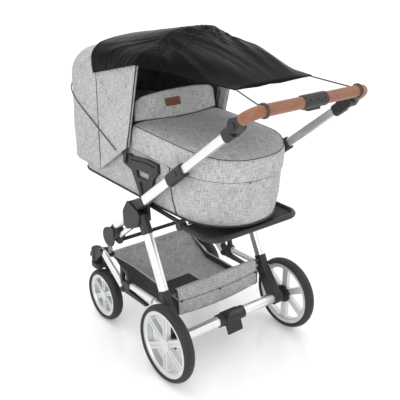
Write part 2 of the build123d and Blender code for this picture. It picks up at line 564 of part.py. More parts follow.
TRIGGER_HALF = 26.0
with BuildPart() as handle_housing:
    side_disc((HANDLE_Y, HANDLE_Z), GRIP_R + 3, -CENTRE_HALF, CENTRE_HALF)
    fillet(handle_housing.edges(), 4)
    side_disc((HANDLE_Y, HANDLE_Z), BAR_R, -CENTRE_HALF - 1, CENTRE_HALF + 1, mode=Mode.SUBTRACT)
    with BuildSketch(Plane(origin=(0, HANDLE_Y, HANDLE_Z - 30))):
        Rectangle(2 * TRIGGER_HALF + 0.6, 16.6)
    extrude(amount=18.5, mode=Mode.SUBTRACT)
    # Three screw holes on the rear face.
    with BuildSketch(Plane(origin=(0, HANDLE_Y + 16.5, HANDLE_Z + 8), x_dir=(1, 0, 0), z_dir=(0, 0.9, 0.44))):
        with Locations((-28, 0), (0, 0), (28, 0)):
            Circle(2.8)
    extrude(amount=8, mode=Mode.SUBTRACT)
save(handle_housing, "handle_housing")

with BuildPart() as release_trigger:
    with BuildSketch(Plane(origin=(0, HANDLE_Y, HANDLE_Z - 25))):
        RectangleRounded(2 * TRIGGER_HALF, 16, 5)
    extrude(amount=9)
save(release_trigger, "release_trigger")

# ---- seat unit: brackets, rails and the carrycot ------------------------------------------------
BRACKET_IN, BRACKET_OUT = COT_HALF_WIDTH + 0.3, 196.0
RAIL_X = 172.0
SEAT_RAIL_R = 8.0
JOINT_RAIL = (-20.0, 527.7)         # cross tube of the seat frame
FOOTREST_PIVOT = (172.0, 521.7)

with BuildPart() as seat_brackets:
    y, z = HOOD_PIVOT
    side_hull([(y, z, 18), (-104, 676, 16), (-84, 652, 16)], BRACKET_IN, BRACKET_OUT)
    side_plate(
        [(-112, 684), (0, 700), (60, 697), (62, 668), (36, 640), (26, 604), (-4, 550), (-40, 550),
         (-67, 596), (-92, 636)],
        BRACKET_IN, BRACKET_OUT, 5,
    )
    side_plate(
        [(-66, 648), (12, 652), (8, 626), (-56, 624)],
        BRACKET_IN - 1, BRACKET_OUT + 1, 4, mode=Mode.SUBTRACT,
    )
    side_disc((y, z), 4 + RUNNING_GAP, BRACKET_IN - 1, BRACKET_OUT + 1, mode=Mode.SUBTRACT)
    # Finger recess under the hole, a channel under the arched top and the screw heads' sinks.
    recess = (BRACKET_OUT - 4, BRACKET_OUT + 1)
    side_plate([(-46, 612), (10, 612), (-6, 566), (-32, 566)], *recess, 4, mode=Mode.SUBTRACT)
    side_plate([(-92, 678), (0, 690), (50, 688), (50, 683), (0, 685), (-92, 673)], *recess, mode=Mode.SUBTRACT)
    for spot in ((-124, 648), (-96, 662), (40, 662)):
        side_disc(spot, 2.5, *recess, mode=Mode.SUBTRACT)
    # Lower plug of the bracket, held against the inner joint plate.
    side_plate([(-42, 550), (-2, 550), (4, 482), (-50, 482)], BRACKET_IN + 2, PLATE_IN - 0.3)
    mirror(about=Plane.YZ)
save(seat_brackets, "seat_brackets")

with BuildPart() as seat_rails:
    # Bent tube under the cot: cross bar between the adapters and two rails to the footrest joints.
    cross_y, cross_z = JOINT_RAIL
    rod((-BRACKET_IN - 2, cross_y, cross_z), (BRACKET_IN + 2, cross_y, cross_z), SEAT_RAIL_R)
    for x in (-RAIL_X, RAIL_X):
        rod((x, cross_y, cross_z), (x, *FOOTREST_PIVOT), SEAT_RAIL_R - 0.6)
        side_disc(FOOTREST_PIVOT, 11, x - 5, x + 5)
    side_disc(FOOTREST_PIVOT, PIN_R, -RAIL_X - 9, -RAIL_X + 9, mode=Mode.SUBTRACT)
    side_disc(FOOTREST_PIVOT, PIN_R, RAIL_X - 9, RAIL_X + 9, mode=Mode.SUBTRACT)
save(seat_rails, "seat_rails")

# ---- carrycot -----------------------------------------------------------------------------------
COT_HEAD_CORNER, COT_FOOT_CORNER = 110.0, 165.0


def cot_outline(inset):
    """Plan of the cot, its head corners tighter than its foot corners, drawn in the open sketch."""
    half, head, foot = COT_HALF_WIDTH - inset, COT_HEAD_Y + inset, COT_FOOT_Y - inset
    head_corner, foot_corner = COT_HEAD_CORNER - inset, COT_FOOT_CORNER - inset
    with BuildLine() as plan:
        FilletPolyline(
            (half, head), (half, foot), (-half, foot), (-half, head),
            radius=[head_corner, foot_corner, foot_corner, head_corner], close=True,
        )
    make_face(plan.edges())


def rim_height(y):
    """Height of the cot's slanted rim at a place along it."""
    slope = (COT_RIM_HEAD_Z - COT_RIM_FOOT_Z) / (COT_FOOT_Y - COT_HEAD_Y)
    return COT_RIM_HEAD_Z - slope * (y - COT_HEAD_Y)


def above_rim(thickness, drop=0.0):
    """Slab over the slanted rim, to cut or to keep with, across the whole cot."""
    head, foot = COT_HEAD_Y - 50, COT_FOOT_Y + 50
    side_plate(
        [(head, rim_height(head) - drop), (foot, rim_height(foot) - drop),
         (foot, rim_height(foot) - drop + thickness), (head, rim_height(head) - drop + thickness)],
        -COT_HALF_WIDTH - 20, COT_HALF_WIDTH + 20, mode=Mode.SUBTRACT,
    )


with BuildPart() as cot_shell:
    with BuildSketch(Plane.XY.offset(COT_BOTTOM_Z)):
        cot_outline(10)
    with BuildSketch(Plane.XY.offset(COT_BOTTOM_Z + 60)):
        cot_outline(0)
    loft()
    with BuildSketch(Plane.XY.offset(COT_BOTTOM_Z + 60)):
        cot_outline(0)
    extrude(amount=220)
    with BuildSketch(Plane.XY.offset(COT_BOTTOM_Z + COT_FLOOR)):
        cot_outline(COT_WALL + 6)
    extrude(amount=300, mode=Mode.SUBTRACT)
    above_rim(200)
save(cot_shell, "cot_shell")

MATTRESS_TOP = 640.0
with BuildPart() as mattress:
    with BuildSketch(Plane.XY.offset(COT_BOTTOM_Z + COT_FLOOR)):
        cot_outline(COT_WALL + 6 + SOFT_GAP)
    extrude(amount=MATTRESS_TOP - COT_BOTTOM_Z - COT_FLOOR)
    fillet(mattress.faces().sort_by(Axis.Z)[-1].edges(), 12)
save(mattress, "mattress")

# Quilted apron over the foot half, with a skirt that hangs outside the cot's rim.
APRON_SKIRT = 62.0
with BuildPart() as cot_space:
    with BuildSketch(Plane.XY.offset(COT_RIM_FOOT_Z - 120)):
        cot_outline(-0.6)
    extrude(amount=260)
    above_rim(300, -0.6)

with BuildPart() as apron:
    with BuildSketch(Plane.XY.offset(COT_RIM_FOOT_Z - 100)):
        cot_outline(-5)
    extrude(amount=260)
    foot_y, head_y = COT_FOOT_Y + 20, APRON_HEAD_Y
    foot_z, head_z = rim_height(foot_y), rim_height(head_y)
    side_plate(
        [(head_y, head_z - APRON_SKIRT), (foot_y, foot_z - APRON_SKIRT), (foot_y, foot_z + 8),
         (foot_y - 90, foot_z + 22), (head_y + 150, head_z + APRON_CROWN - 5), (head_y, head_z + APRON_CROWN)],
        -COT_HALF_WIDTH - 20, COT_HALF_WIDTH + 20, mode=Mode.INTERSECT,
    )
    add(cot_space.part, mode=Mode.SUBTRACT)
save(apron, "apron")

FLAP_HALF, FLAP_HEIGHT, FLAP_THICK = 166.0, 96.0, 6.0
FLAP_HINGE = (APRON_HEAD_Y - 0.3, rim_height(APRON_HEAD_Y) + APRON_CROWN + 0.3)
with BuildPart() as apron_flap:
    lean = Plane(origin=(0, *FLAP_HINGE), x_dir=(1, 0, 0), z_dir=(0, -1, -0.12))
    with BuildSketch(lean):
        with BuildLine():
            Line((-FLAP_HALF, 0), (FLAP_HALF, 0))
            Line((FLAP_HALF, 0), (FLAP_HALF - 16, FLAP_HEIGHT - 24))
            ThreePointArc((FLAP_HALF - 16, FLAP_HEIGHT - 24), (0, FLAP_HEIGHT), (16 - FLAP_HALF, FLAP_HEIGHT - 24))
            Line((16 - FLAP_HALF, FLAP_HEIGHT - 24), (-FLAP_HALF, 0))
        make_face()
    extrude(amount=FLAP_THICK)
save(apron_flap, "apron_flap")

# ---- hood ---------------------------------------------------------------------------------------
MID_BOW_ANGLE, FRONT_BOW_ANGLE = 113.6, 76.0
MID_BOW_HEIGHT, FRONT_BOW_HEIGHT = 396.0, 426.0
MID_BOW_X, FRONT_BOW_X = BRACKET_OUT + 0.3, BRACKET_OUT + 3.6
BOW_THICK, BOW_WIDTH = 3.0, 14.0


def arch(half, low, high, crown, corner):
    """Closed arch from the height low to high, with a crowned top, drawn in the open sketch."""
    shoulder = high - crown
    peak = high + half * 0.8 * (sqrt(1 + (crown / half) ** 2) - 1)
    with BuildLine() as shape:
        FilletPolyline(
            (-half, low), (-half, shoulder), (0, peak), (half, shoulder), (half, low),
            radius=[corner, half * 0.8, corner],
        )
        Line((half, low), (-half, low))
    make_face(shape.edges())


def bow(angle, half, height, crown, corner):
    """Flat springy strip bent into an arch in a plane through the hood's pivots."""
    tilt = radians(angle)
    level = Plane(
        origin=(0, *HOOD_PIVOT), x_dir=(1, 0, 0), z_dir=(0, -sin(tilt), cos(tilt))
    )
    for inset, mode in ((0, Mode.ADD), (BOW_THICK, Mode.SUBTRACT)):
        with BuildSketch(level.offset(-BOW_WIDTH / 2)) as strip:
            arch(half - inset, -9 - 3 * inset, height - inset, crown, corner - inset)
        extrude(strip.sketch, amount=BOW_WIDTH, mode=mode)


with BuildPart() as hood_mid_bow:
    bow(MID_BOW_ANGLE, MID_BOW_X + BOW_THICK, MID_BOW_HEIGHT, 12, 55)
    side_disc(HOOD_PIVOT, 4, BRACKET_IN + 1, MID_BOW_X + 1)
    side_disc(HOOD_PIVOT, 4, -MID_BOW_X - 1, -BRACKET_IN - 1)
save(hood_mid_bow, "hood_mid_bow")

with BuildPart() as hood_front_bow:
    bow(FRONT_BOW_ANGLE, FRONT_BOW_X + BOW_THICK, FRONT_BOW_HEIGHT, 60, 50)
save(hood_front_bow, "hood_front_bow")

front_run = Vector(0, *HOOD_FRONT_TOP) - Vector(0, *HOOD_FRONT_FOOT)
front_plane = Plane(
    origin=(0, *HOOD_FRONT_FOOT), x_dir=(1, 0, 0), z_dir=(0, -front_run.Z, front_run.Y)
)
seam_plane = Plane(origin=(0, HOOD_SEAM_Y, 0), x_dir=(1, 0, 0), z_dir=(0, -1, 0))
with BuildPart() as hood_front_panel:
    for inset, mode in ((0, Mode.ADD), (HOOD_CLOTH, Mode.SUBTRACT)):
        half = HOOD_HALF_WIDTH - inset
        with BuildSketch(seam_plane.offset(-0.3 + inset)):
            arch(half, HOOD_HEM_Z - 4 * inset, HOOD_SEAM_TOP - inset, 16, 60 - inset)
        with BuildSketch(front_plane.offset(-inset)):
            arch(half, -4 * inset, front_run.length - inset, 58, 52 - inset)
        loft(mode=mode)
save(hood_front_panel, "hood_front_panel")

# Places along the rear panel: Y, half width, top height and corner radius of the arch there.
HOOD_BACK = [
    (HOOD_SEAM_Y, HOOD_HALF_WIDTH, HOOD_SEAM_TOP, 60), (-360, HOOD_HALF_WIDTH, 1029, 62),
    (-440, 205, 1000, 66), (-500, 182, 953, 64), (-531, 148, 908, 56), (HOOD_BACK_Y, 100, 850, 44),
]
with BuildPart() as hood_rear_panel:
    for inset, mode in ((0, Mode.ADD), (HOOD_CLOTH, Mode.SUBTRACT)):
        for y, half, top, corner in HOOD_BACK:
            place = max(y, HOOD_BACK_Y + inset) + (inset if y == HOOD_SEAM_Y else 0)
            with BuildSketch(Plane(origin=(0, place, 0), x_dir=(1, 0, 0), z_dir=(0, -1, 0))):
                arch(half - inset, HOOD_HEM_Z - 4 * inset, top - inset, 16, corner - inset)
        loft(mode=mode)
save(hood_rear_panel, "hood_rear_panel")

# ---- footrest -----------------------------------------------------------------------------------
FOOTREST_X, FOOTREST_R, FOOTREST_Y = RAIL_X + 14.0, 8.5, 330.0
with BuildPart() as footrest_frame:
    y, z = FOOTREST_PIVOT
    with BuildLine(Plane.XY.offset(z)) as path:
        FilletPolyline(
            (FOOTREST_X, y), (FOOTREST_X, FOOTREST_Y), (-FOOTREST_X, FOOTREST_Y), (-FOOTREST_X, y), radius=45
        )
    with BuildSketch(Plane(origin=(FOOTREST_X, y, z), z_dir=(0, 1, 0))):
        Circle(FOOTREST_R)
    sweep(path=path.wires()[0])
    for x_from, x_to in ((RAIL_X + 8.3, FOOTREST_X + 10), (-FOOTREST_X - 10, -RAIL_X - 8.3)):
        side_disc(FOOTREST_PIVOT, 14, x_from, x_to)
    side_disc(FOOTREST_PIVOT, PIN_R - RUNNING_GAP, RAIL_X - 5, RAIL_X + 9)
    side_disc(FOOTREST_PIVOT, PIN_R - RUNNING_GAP, -RAIL_X - 9, 5 - RAIL_X)
save(footrest_frame, "footrest_frame")

# ---- swivel locks -------------------------------------------------------------------------------
for side, word in ((1, "left"), (-1, "right")):
    with BuildPart() as lever:
        lock_x = sorted((side * (FRONT_X - 7), side * (FRONT_X + 7)))
        side_hull([(*LOCK_PIVOT, 6), (LOCK_PIVOT[0] - 11, LOCK_PIVOT[1] - 16, 5)], *lock_x)
        side_disc(LOCK_PIVOT, 2.5 + RUNNING_GAP, *lock_x, mode=Mode.SUBTRACT)
    save(lever, f"swivel_lock_{word}")

# ---- sunshade -----------------------------------------------------------------------------------
# The shade lies over the front half of the hood and then runs as a tent to a straight rear hem.
SHADE_OUT = 8.0                     # outside of the shade above the hood's cloth
SHADE_SEAM_Y = HOOD_SEAM_Y - 6


def shade_row(middle, radius, hem, crown, top):
    """Points of the shade's cross section: hem, round corner, crown and top, both sides."""
    corner = [
        (middle[0] + radius * cos(radians(a)), middle[1] + radius * sin(radians(a))) for a in (22, 50, 78)
    ]
    right = [hem, *corner, crown]
    return [*right, top, *[(-x, z) for x, z in reversed(right)]]


def shade_strip(row, below):
    """Thin strip under a row of points, drawn towards a height on the middle plane."""
    inner = []
    for x, z in row:
        reach = sqrt(x * x + (z - below) ** 2)
        inner.append((x - SHADE_CLOTH * x / reach, z - SHADE_CLOTH * (z - below) / reach))
    with BuildLine() as strip:
        Polyline(*row, *reversed(inner), close=True)
    make_face(strip.edges())


with BuildPart() as sun_shade:
    out, front_len = SHADE_OUT, front_run.length
    half = HOOD_HALF_WIDTH + out - 1
    with BuildSketch(Plane(origin=(0, SHADE_SEAM_Y, 0), x_dir=(1, 0, 0), z_dir=(0, -1, 0))):
        top = HOOD_SEAM_TOP
        shade_strip(
            shade_row((half - 64, top - 71), 60 + out, (half, top - 100), (70, top + out - 4), (0, top + out)),
            top - 240,
        )
    with BuildSketch(front_plane.offset(-4)):
        top = front_len
        shade_strip(
            shade_row((half - 56, top - 97), 52 + out, (half, top - 85), (70, top + out - 15), (0, top + out)),
            top - 240,
        )
    with BuildSketch(Plane(origin=(0, 190, 0), x_dir=(1, 0, 0), z_dir=(0, -1, 0))):
        top = 1046.0
        shade_strip(
            shade_row((125, top - 46), 36, (168, top - 46), (60, top - 3), (0, top)), top - 240,
        )
    with BuildSketch(Plane(origin=(0, SHADE_REAR_Y, 0), x_dir=(1, 0, 0), z_dir=(0, -1, 0))):
        hem, top = SHADE_REAR_HALF, SHADE_REAR_Z
        row = [(hem, top), (hem * 0.94, top + 0.4), (hem * 0.85, top + 0.8), (hem * 0.7, top + 1.2)]
        row += [(hem * 0.33, top + 1.8), (0, top + 2)]
        row += [(-x, z) for x, z in reversed(row[:-1])]
        shade_strip(row, top - 400)
    loft(ruled=True)
save(sun_shade, "sun_shade")

# ---- elastic cords ------------------------------------------------------------------------------
# A short cord from each rear corner of the shade to a loop round the handle's grip.
LOOP_X = 180.0
LOOP_R = GRIP_R + CORD_R + 0.3
for side, word in ((1, "left"), (-1, "right")):
    corner = Vector(side * (SHADE_REAR_HALF - 4), SHADE_REAR_Y + CORD_R, SHADE_REAR_Z - 1)
    loop_centre = Vector(side * LOOP_X, HANDLE_Y, HANDLE_Z)
    with BuildPart() as cord:
        with BuildSketch(Plane(origin=loop_centre + Vector(0, 0, LOOP_R), x_dir=(1, 0, 0), z_dir=(0, -1, 0))):
            Circle(CORD_R)
        revolve(axis=Axis(loop_centre, (1, 0, 0)))
        rod(corner, loop_centre + Vector(0, -LOOP_R * 0.9, LOOP_R * 0.4359), CORD_R)
    save(cord, f"shade_cord_{word}")

# The third cord runs straight up one side of the hood, round its back and down the other side.
BACK_CORD_X = HOOD_HALF_WIDTH + CORD_R + 1.2
BACK_CORD_SIDE = [
    (BACK_CORD_X, -165, 692), (BACK_CORD_X + 1, -400, 803), (205, -468, 834), (180, -518, 856),
    (138, -544, 868), (80, -549, 872),
]


def bend_radii(points):
    """Radius of each bend: as large as the shorter of its two runs allows."""
    radii = []
    for before, corner, after in zip(points, points[1:], points[2:]):
        back, ahead = Vector(before) - Vector(corner), Vector(after) - Vector(corner)
        half_turn = radians(180 - back.get_angle(ahead)) / 2
        radii.append(0.45 * min(back.length, ahead.length) / tan(half_turn))
    return radii


back_route = BACK_CORD_SIDE + [(-x, y, z) for x, y, z in reversed(BACK_CORD_SIDE)]
back_radii = bend_radii(back_route)
with BuildPart() as back_cord:
    with BuildLine() as path:
        FilletPolyline(*back_route, radius=back_radii)
    with BuildSketch(Plane(origin=path.wires()[0] @ 0, z_dir=path.wires()[0] % 0)):
        Circle(CORD_R)
    sweep(path=path.wires()[0])
save(back_cord, "shade_cord_back")
back_length = path.wires()[0].length
print("back cord length", round(back_length, 1), "bend radii", [round(radius) for radius in back_radii])
print("volume over section times length", round(back_cord.part.volume / (back_length * pi * CORD_R**2), 4))
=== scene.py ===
import bmesh
import bpy
import json
from math import cos, pi, radians, sin, sqrt, tan
from mathutils import Matrix, Vector, noise


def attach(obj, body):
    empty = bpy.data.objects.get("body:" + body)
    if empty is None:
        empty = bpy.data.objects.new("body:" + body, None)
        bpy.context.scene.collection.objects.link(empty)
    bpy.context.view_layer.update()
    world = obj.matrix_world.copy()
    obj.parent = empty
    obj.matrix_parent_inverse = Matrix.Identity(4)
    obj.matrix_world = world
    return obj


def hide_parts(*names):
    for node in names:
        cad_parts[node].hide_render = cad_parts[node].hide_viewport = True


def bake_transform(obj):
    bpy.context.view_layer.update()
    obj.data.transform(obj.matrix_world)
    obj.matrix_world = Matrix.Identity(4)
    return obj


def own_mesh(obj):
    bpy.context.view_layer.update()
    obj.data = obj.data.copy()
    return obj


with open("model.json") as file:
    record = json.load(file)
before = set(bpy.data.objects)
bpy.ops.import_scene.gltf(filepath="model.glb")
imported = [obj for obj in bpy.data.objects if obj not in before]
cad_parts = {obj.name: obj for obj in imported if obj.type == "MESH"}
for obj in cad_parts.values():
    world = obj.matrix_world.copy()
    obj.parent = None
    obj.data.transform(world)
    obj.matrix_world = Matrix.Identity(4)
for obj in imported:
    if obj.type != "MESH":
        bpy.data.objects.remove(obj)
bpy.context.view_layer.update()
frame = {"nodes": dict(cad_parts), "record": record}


# ---- shader arithmetic ----
class Wire:
    """A node's output, so that shader maths reads as plain arithmetic."""

    def __init__(self, finish, socket):
        self.finish = finish
        self.socket = socket

    def math(self, operation, first, second):
        """One step of arithmetic on two wires, or on a wire and a number."""
        return self.finish.node("ShaderNodeMath", {"operation": operation}, {0: first, 1: second})

    def __add__(self, other):
        return self.math("ADD", self, other)

    def __mul__(self, other):
        return self.math("MULTIPLY", self, other)

    def __sub__(self, other):
        return self.math("SUBTRACT", self, other)

    def __rsub__(self, other):
        return self.math("SUBTRACT", other, self)

    def __lt__(self, other):
        return self.math("LESS_THAN", self, other)

    def __gt__(self, other):
        return self.math("GREATER_THAN", self, other)

    __radd__ = __add__
    __rmul__ = __mul__


class Finish:
    """A material under construction: a principled surface and the nodes that feed it."""

    def __init__(self, name, **sockets):
        self.material = bpy.data.materials.new(name)
        self.material.use_nodes = True
        self.tree = self.material.node_tree
        self.surface = self.tree.nodes["Principled BSDF"]
        for key, value in sockets.items():
            self.surface.inputs[key.replace("_", " ")].default_value = value

    def node(self, kind, settings=None, inputs=None, output=0):
        """One node: its settings first, a ramp's stops among them, then its values or wires."""
        made = self.tree.nodes.new(kind)
        for key, value in (settings or {}).items():
            if key == "stops":
                elements = made.color_ramp.elements
                while len(elements) < len(value):
                    elements.new(0.5)
                for element, (place, tone) in zip(elements, value):
                    element.position = place
                    element.color = (*tone, 1)
            else:
                setattr(made, key, value)
        for key, value in (inputs or {}).items():
            if isinstance(value, Wire):
                self.tree.links.new(value.socket, made.inputs[key])
            else:
                made.inputs[key].default_value = value
        return Wire(self, made.outputs[output])

    def place(self, scale=(1, 1, 1), turn=(0, 0, 0), uv=False):
        """Object coordinates, or the piece's own cloth map, scaled and turned."""
        source = self.node("ShaderNodeTexCoord", output="UV" if uv else "Object")
        return self.node("ShaderNodeMapping", {}, {"Vector": source, "Scale": scale, "Rotation": turn})

    def noise(self, vector, scale, detail=2.0, rough=0.5):
        """Cloudy grey pattern between 0 and 1."""
        return self.node(
            "ShaderNodeTexNoise", {},
            {"Vector": vector, "Scale": scale, "Detail": detail, "Roughness": rough},
        )

    def ramp(self, value, *stops):
        """Colour that runs through stops, each a place and a tone."""
        return self.node("ShaderNodeValToRGB", {"stops": stops}, {"Fac": value})

    def blend(self, factor, first, second, how="MIX"):
        """Colour between two colours or wires."""
        return self.node(
            "ShaderNodeMix", {"data_type": "RGBA", "blend_type": how},
            {0: factor, 6: first if isinstance(first, Wire) else (*first, 1),
             7: second if isinstance(second, Wire) else (*second, 1)},
            output=2,
        )

    def feed(self, **wires):
        """Links wires to the surface's sockets of those names."""
        for key, wire in wires.items():
            self.tree.links.new(wire.socket, self.surface.inputs[key.replace("_", " ")])

    def relief(self, height, strength, distance):
        """Bumps of a height map, over a distance in metres."""
        normal = self.node(
            "ShaderNodeBump", {}, {"Height": height, "Strength": strength, "Distance": distance}
        )
        self.feed(Normal=normal)


# ---- finishes ----
def shaded(tone, factor):
    """A tone made lighter or darker, its channels held at 1."""
    return tuple(min(1.0, channel * factor) for channel in tone)


def melange_cloth(name, pale, dark, mapped=True):
    """Woven cloth of mixed pale and dark yarns, with slubs along both thread directions."""
    cloth = Finish(name, Roughness=0.95, Specular_IOR_Level=0.25)
    warp = cloth.noise(cloth.place((460, 38, 460), uv=mapped), 1.0, 2.0, 0.6)
    weft = cloth.noise(cloth.place((38, 460, 130), uv=mapped), 1.0, 2.0, 0.6)
    cloud = cloth.noise(cloth.place(), 11.0, 3.0, 0.6)
    yarn = (warp + weft) * 0.5 + (cloud - 0.5) * 0.12
    middle = tuple(p * 0.6 + d * 0.4 for p, d in zip(pale, dark))
    tone = cloth.ramp(yarn, (0.36, dark), (0.45, middle), (0.52, pale), (0.62, shaded(pale, 1.3)))
    cloth.feed(Base_Color=tone)
    fibre = cloth.noise(cloth.place(), 1500.0, 1.0)
    cloth.relief(yarn * 1.5 + fibre * 0.3, 0.45, 0.0009)
    return cloth.material


def moulded_plastic(name, tone, rough, grain=2600.0, depth=0.12):
    """Satin moulded plastic with a fine spark-eroded grain."""
    plastic = Finish(name, Specular_IOR_Level=0.35)
    place = plastic.place()
    cloud = plastic.noise(place, 22.0, 3.0)
    speck = plastic.noise(place, grain, 1.0)
    plastic.feed(
        Base_Color=plastic.blend(cloud, shaded(tone, 0.86), shaded(tone, 1.16)),
        Roughness=cloud * 0.16 + (rough - 0.08),
    )
    plastic.relief(speck, depth, 0.0002)
    return plastic.material


def satin_metal(name, tone, rough, metallic=1.0):
    """Satin aluminium with faint draw marks."""
    metal = Finish(name, Metallic=metallic)
    marks = metal.noise(metal.place((900, 60, 60), turn=(radians(38), 0, 0)), 1.0, 2.0, 0.6)
    cloud = metal.noise(metal.place(), 9.0, 2.0)
    metal.feed(
        Base_Color=metal.blend(cloud, shaded(tone, 0.93), tone),
        Roughness=marks * 0.1 + cloud * 0.06 + (rough - 0.08),
    )
    metal.relief(marks, 0.05, 0.0002)
    return metal.material


def rubber_finish():
    """Matt rubber, a little dusty."""
    rubber = Finish("tyre_rubber", Specular_IOR_Level=0.35)
    place = rubber.place()
    dust = rubber.noise(place, 30.0, 4.0, 0.6)
    rubber.feed(
        Base_Color=rubber.blend(dust, (0.014, 0.014, 0.015), (0.036, 0.036, 0.038)),
        Roughness=dust * 0.2 + 0.5,
    )
    rubber.relief(rubber.noise(place, 1800.0, 2.0), 0.18, 0.0003)
    return rubber.material


def leather_finish(name, deep, warm):
    """Imitation leather with a pebbled grain and rubbed patches."""
    leather = Finish(name)
    place = leather.place()
    pebble = leather.node(
        "ShaderNodeTexVoronoi", {"feature": "SMOOTH_F1"},
        {"Vector": place, "Scale": 520.0, "Smoothness": 0.6},
    )
    cloud = leather.noise(place, 34.0, 4.0, 0.6)
    leather.feed(Base_Color=leather.blend(cloud, deep, warm), Roughness=cloud * 0.25 + 0.33)
    leather.relief(pebble * 0.8 + cloud * 0.3, 0.35, 0.0006)
    return leather.material


def thin_black_cloth(name, tone, rough, threads, shine):
    """Thin close-woven black cloth with a slight sheen."""
    cloth = Finish(name, Specular_IOR_Level=shine)
    cloud = cloth.noise(cloth.place(), 26.0, 3.0)
    weave = cloth.noise(cloth.place((threads, threads * 0.35, threads), uv=True), 1.0, 1.0)
    cloth.feed(
        Base_Color=cloth.blend(cloud, tone, shaded(tone, 1.9)), Roughness=cloud * 0.2 + (rough - 0.1)
    )
    cloth.relief(weave, 0.2, 0.0003)
    return cloth.material


def braided_elastic():
    """Black braided elastic."""
    elastic = Finish("braided_elastic", Roughness=0.8, Sheen_Weight=0.3)
    plait = elastic.node(
        "ShaderNodeTexWave", {"wave_type": "BANDS", "bands_direction": "DIAGONAL"},
        {"Vector": elastic.place(), "Scale": 260.0, "Distortion": 1.5, "Detail": 1.0},
    )
    elastic.feed(Base_Color=elastic.blend(plait, (0.012, 0.012, 0.013), (0.06, 0.06, 0.062)))
    elastic.relief(plait, 0.5, 0.0006)
    return elastic.material


def net_finish():
    """Black warp-knit net."""
    net = Finish("black_net", Roughness=0.8)
    cell = net.node(
        "ShaderNodeTexVoronoi", {"feature": "DISTANCE_TO_EDGE"}, {"Vector": net.place(), "Scale": 420.0}
    )
    net.feed(Base_Color=net.blend(cell < 0.12, (0.012, 0.012, 0.013), (0.05, 0.05, 0.052)))
    net.relief(cell, 0.4, 0.0008)
    return net.material


def thread_finish(name, tone):
    """Twisted thread, in a tone and its lighter strands."""
    thread = Finish(name, Roughness=0.75)
    twist = thread.noise(thread.place(), 900.0, 1.0)
    thread.feed(Base_Color=thread.blend(twist, tone, shaded(tone, 2.4)))
    return thread.material


GREY_CLOTH = melange_cloth("grey_melange", (0.445, 0.449, 0.453), (0.195, 0.198, 0.201))
BASKET_CLOTH = melange_cloth("basket_melange", (0.4, 0.404, 0.408), (0.185, 0.188, 0.192))
MATTRESS_CLOTH = melange_cloth("mattress_cloth", (0.74, 0.74, 0.73), (0.55, 0.55, 0.54), mapped=False)
BLACK_PLASTIC = moulded_plastic("charcoal_plastic", (0.024, 0.0245, 0.026), 0.46)
BLACK_STEEL = moulded_plastic("black_powder_coat", (0.022, 0.022, 0.024), 0.36, 1400.0, 0.06)
SILVER_TUBE = satin_metal("satin_aluminium", (0.86, 0.87, 0.88), 0.3)
SILVER_RIM = satin_metal("silver_paint", (0.67, 0.68, 0.69), 0.36, 0.45)
RUBBER = rubber_finish()
LEATHER = leather_finish("tan_leather", (0.165, 0.062, 0.03), (0.33, 0.142, 0.072))
PATCH_LEATHER = leather_finish("patch_leather", (0.1, 0.028, 0.012), (0.17, 0.05, 0.022))
SHADE_CLOTH = thin_black_cloth("shade_polyester", (0.0024, 0.0024, 0.0027), 0.34, 1800.0, 0.055)
# the hood's black lining gets a lighter tone: painted light for the shaded hollow inside the hood
LINING_CLOTH_PAINTED_LIGHTER = thin_black_cloth("hood_lining_lightened_cloth", (0.1, 0.1, 0.102), 0.3, 1200.0, 1.0)
SLING_CLOTH = thin_black_cloth("footrest_sling_cloth", (0.018, 0.018, 0.019), 0.5, 1200.0, 0.3)
ELASTIC = braided_elastic()
NET = net_finish()
BLACK_THREAD = thread_finish("black_piping", (0.02, 0.02, 0.022))
TAN_THREAD = thread_finish("tan_thread", (0.16, 0.07, 0.035))

FINISHES_OF_SLOT = {                 # the first is what the slot's CAD nodes wear
    "black_plastic": [BLACK_PLASTIC], "black_steel": [BLACK_STEEL], "silver_tube": [SILVER_TUBE],
    "silver_rim": [SILVER_RIM], "rubber": [RUBBER], "leather": [LEATHER, PATCH_LEATHER, TAN_THREAD],
    "grey_fabric": [GREY_CLOTH, BASKET_CLOTH], "mattress_fabric": [MATTRESS_CLOTH],
    "shade_fabric": [SHADE_CLOTH, LINING_CLOTH_PAINTED_LIGHTER, SLING_CLOTH, NET], "cord_black": [ELASTIC, BLACK_THREAD],
}
slot_of_node = {part["node"]: part["material_slot"] for part in frame["record"]["subparts"]}


def wear(mesh, finish):
    """Gives a mesh that finish alone."""
    mesh.materials.clear()
    mesh.materials.append(finish)


for node_name, cad_piece in frame["nodes"].items():
    wear(cad_piece.data, FINISHES_OF_SLOT[slot_of_node[node_name]][0])


# ---- mesh helpers, in millimetres like the sizes they use ----
MM = 0.001
SIDES = ((1, "left"), (-1, "right"))


def held(value):
    """A value held between 0 and 1."""
    return min(max(value, 0), 1)


def side_to_side(count):
    """Shares of a half width, in even steps from -1 to 1."""
    return [2 * i / count - 1 for i in range(count + 1)]


def spaced(points, count):
    """Evenly spaced points along a row of points."""
    reach = [0.0]
    for first, second in zip(points, points[1:]):
        reach.append(reach[-1] + (second - first).length)
    result, place = [], 0
    for index in range(count):
        target = reach[-1] * index / (count - 1)
        while place < len(points) - 2 and reach[place + 1] < target:
            place += 1
        run = reach[place + 1] - reach[place]
        result.append(points[place].lerp(points[place + 1], (target - reach[place]) / run if run else 0))
    return result


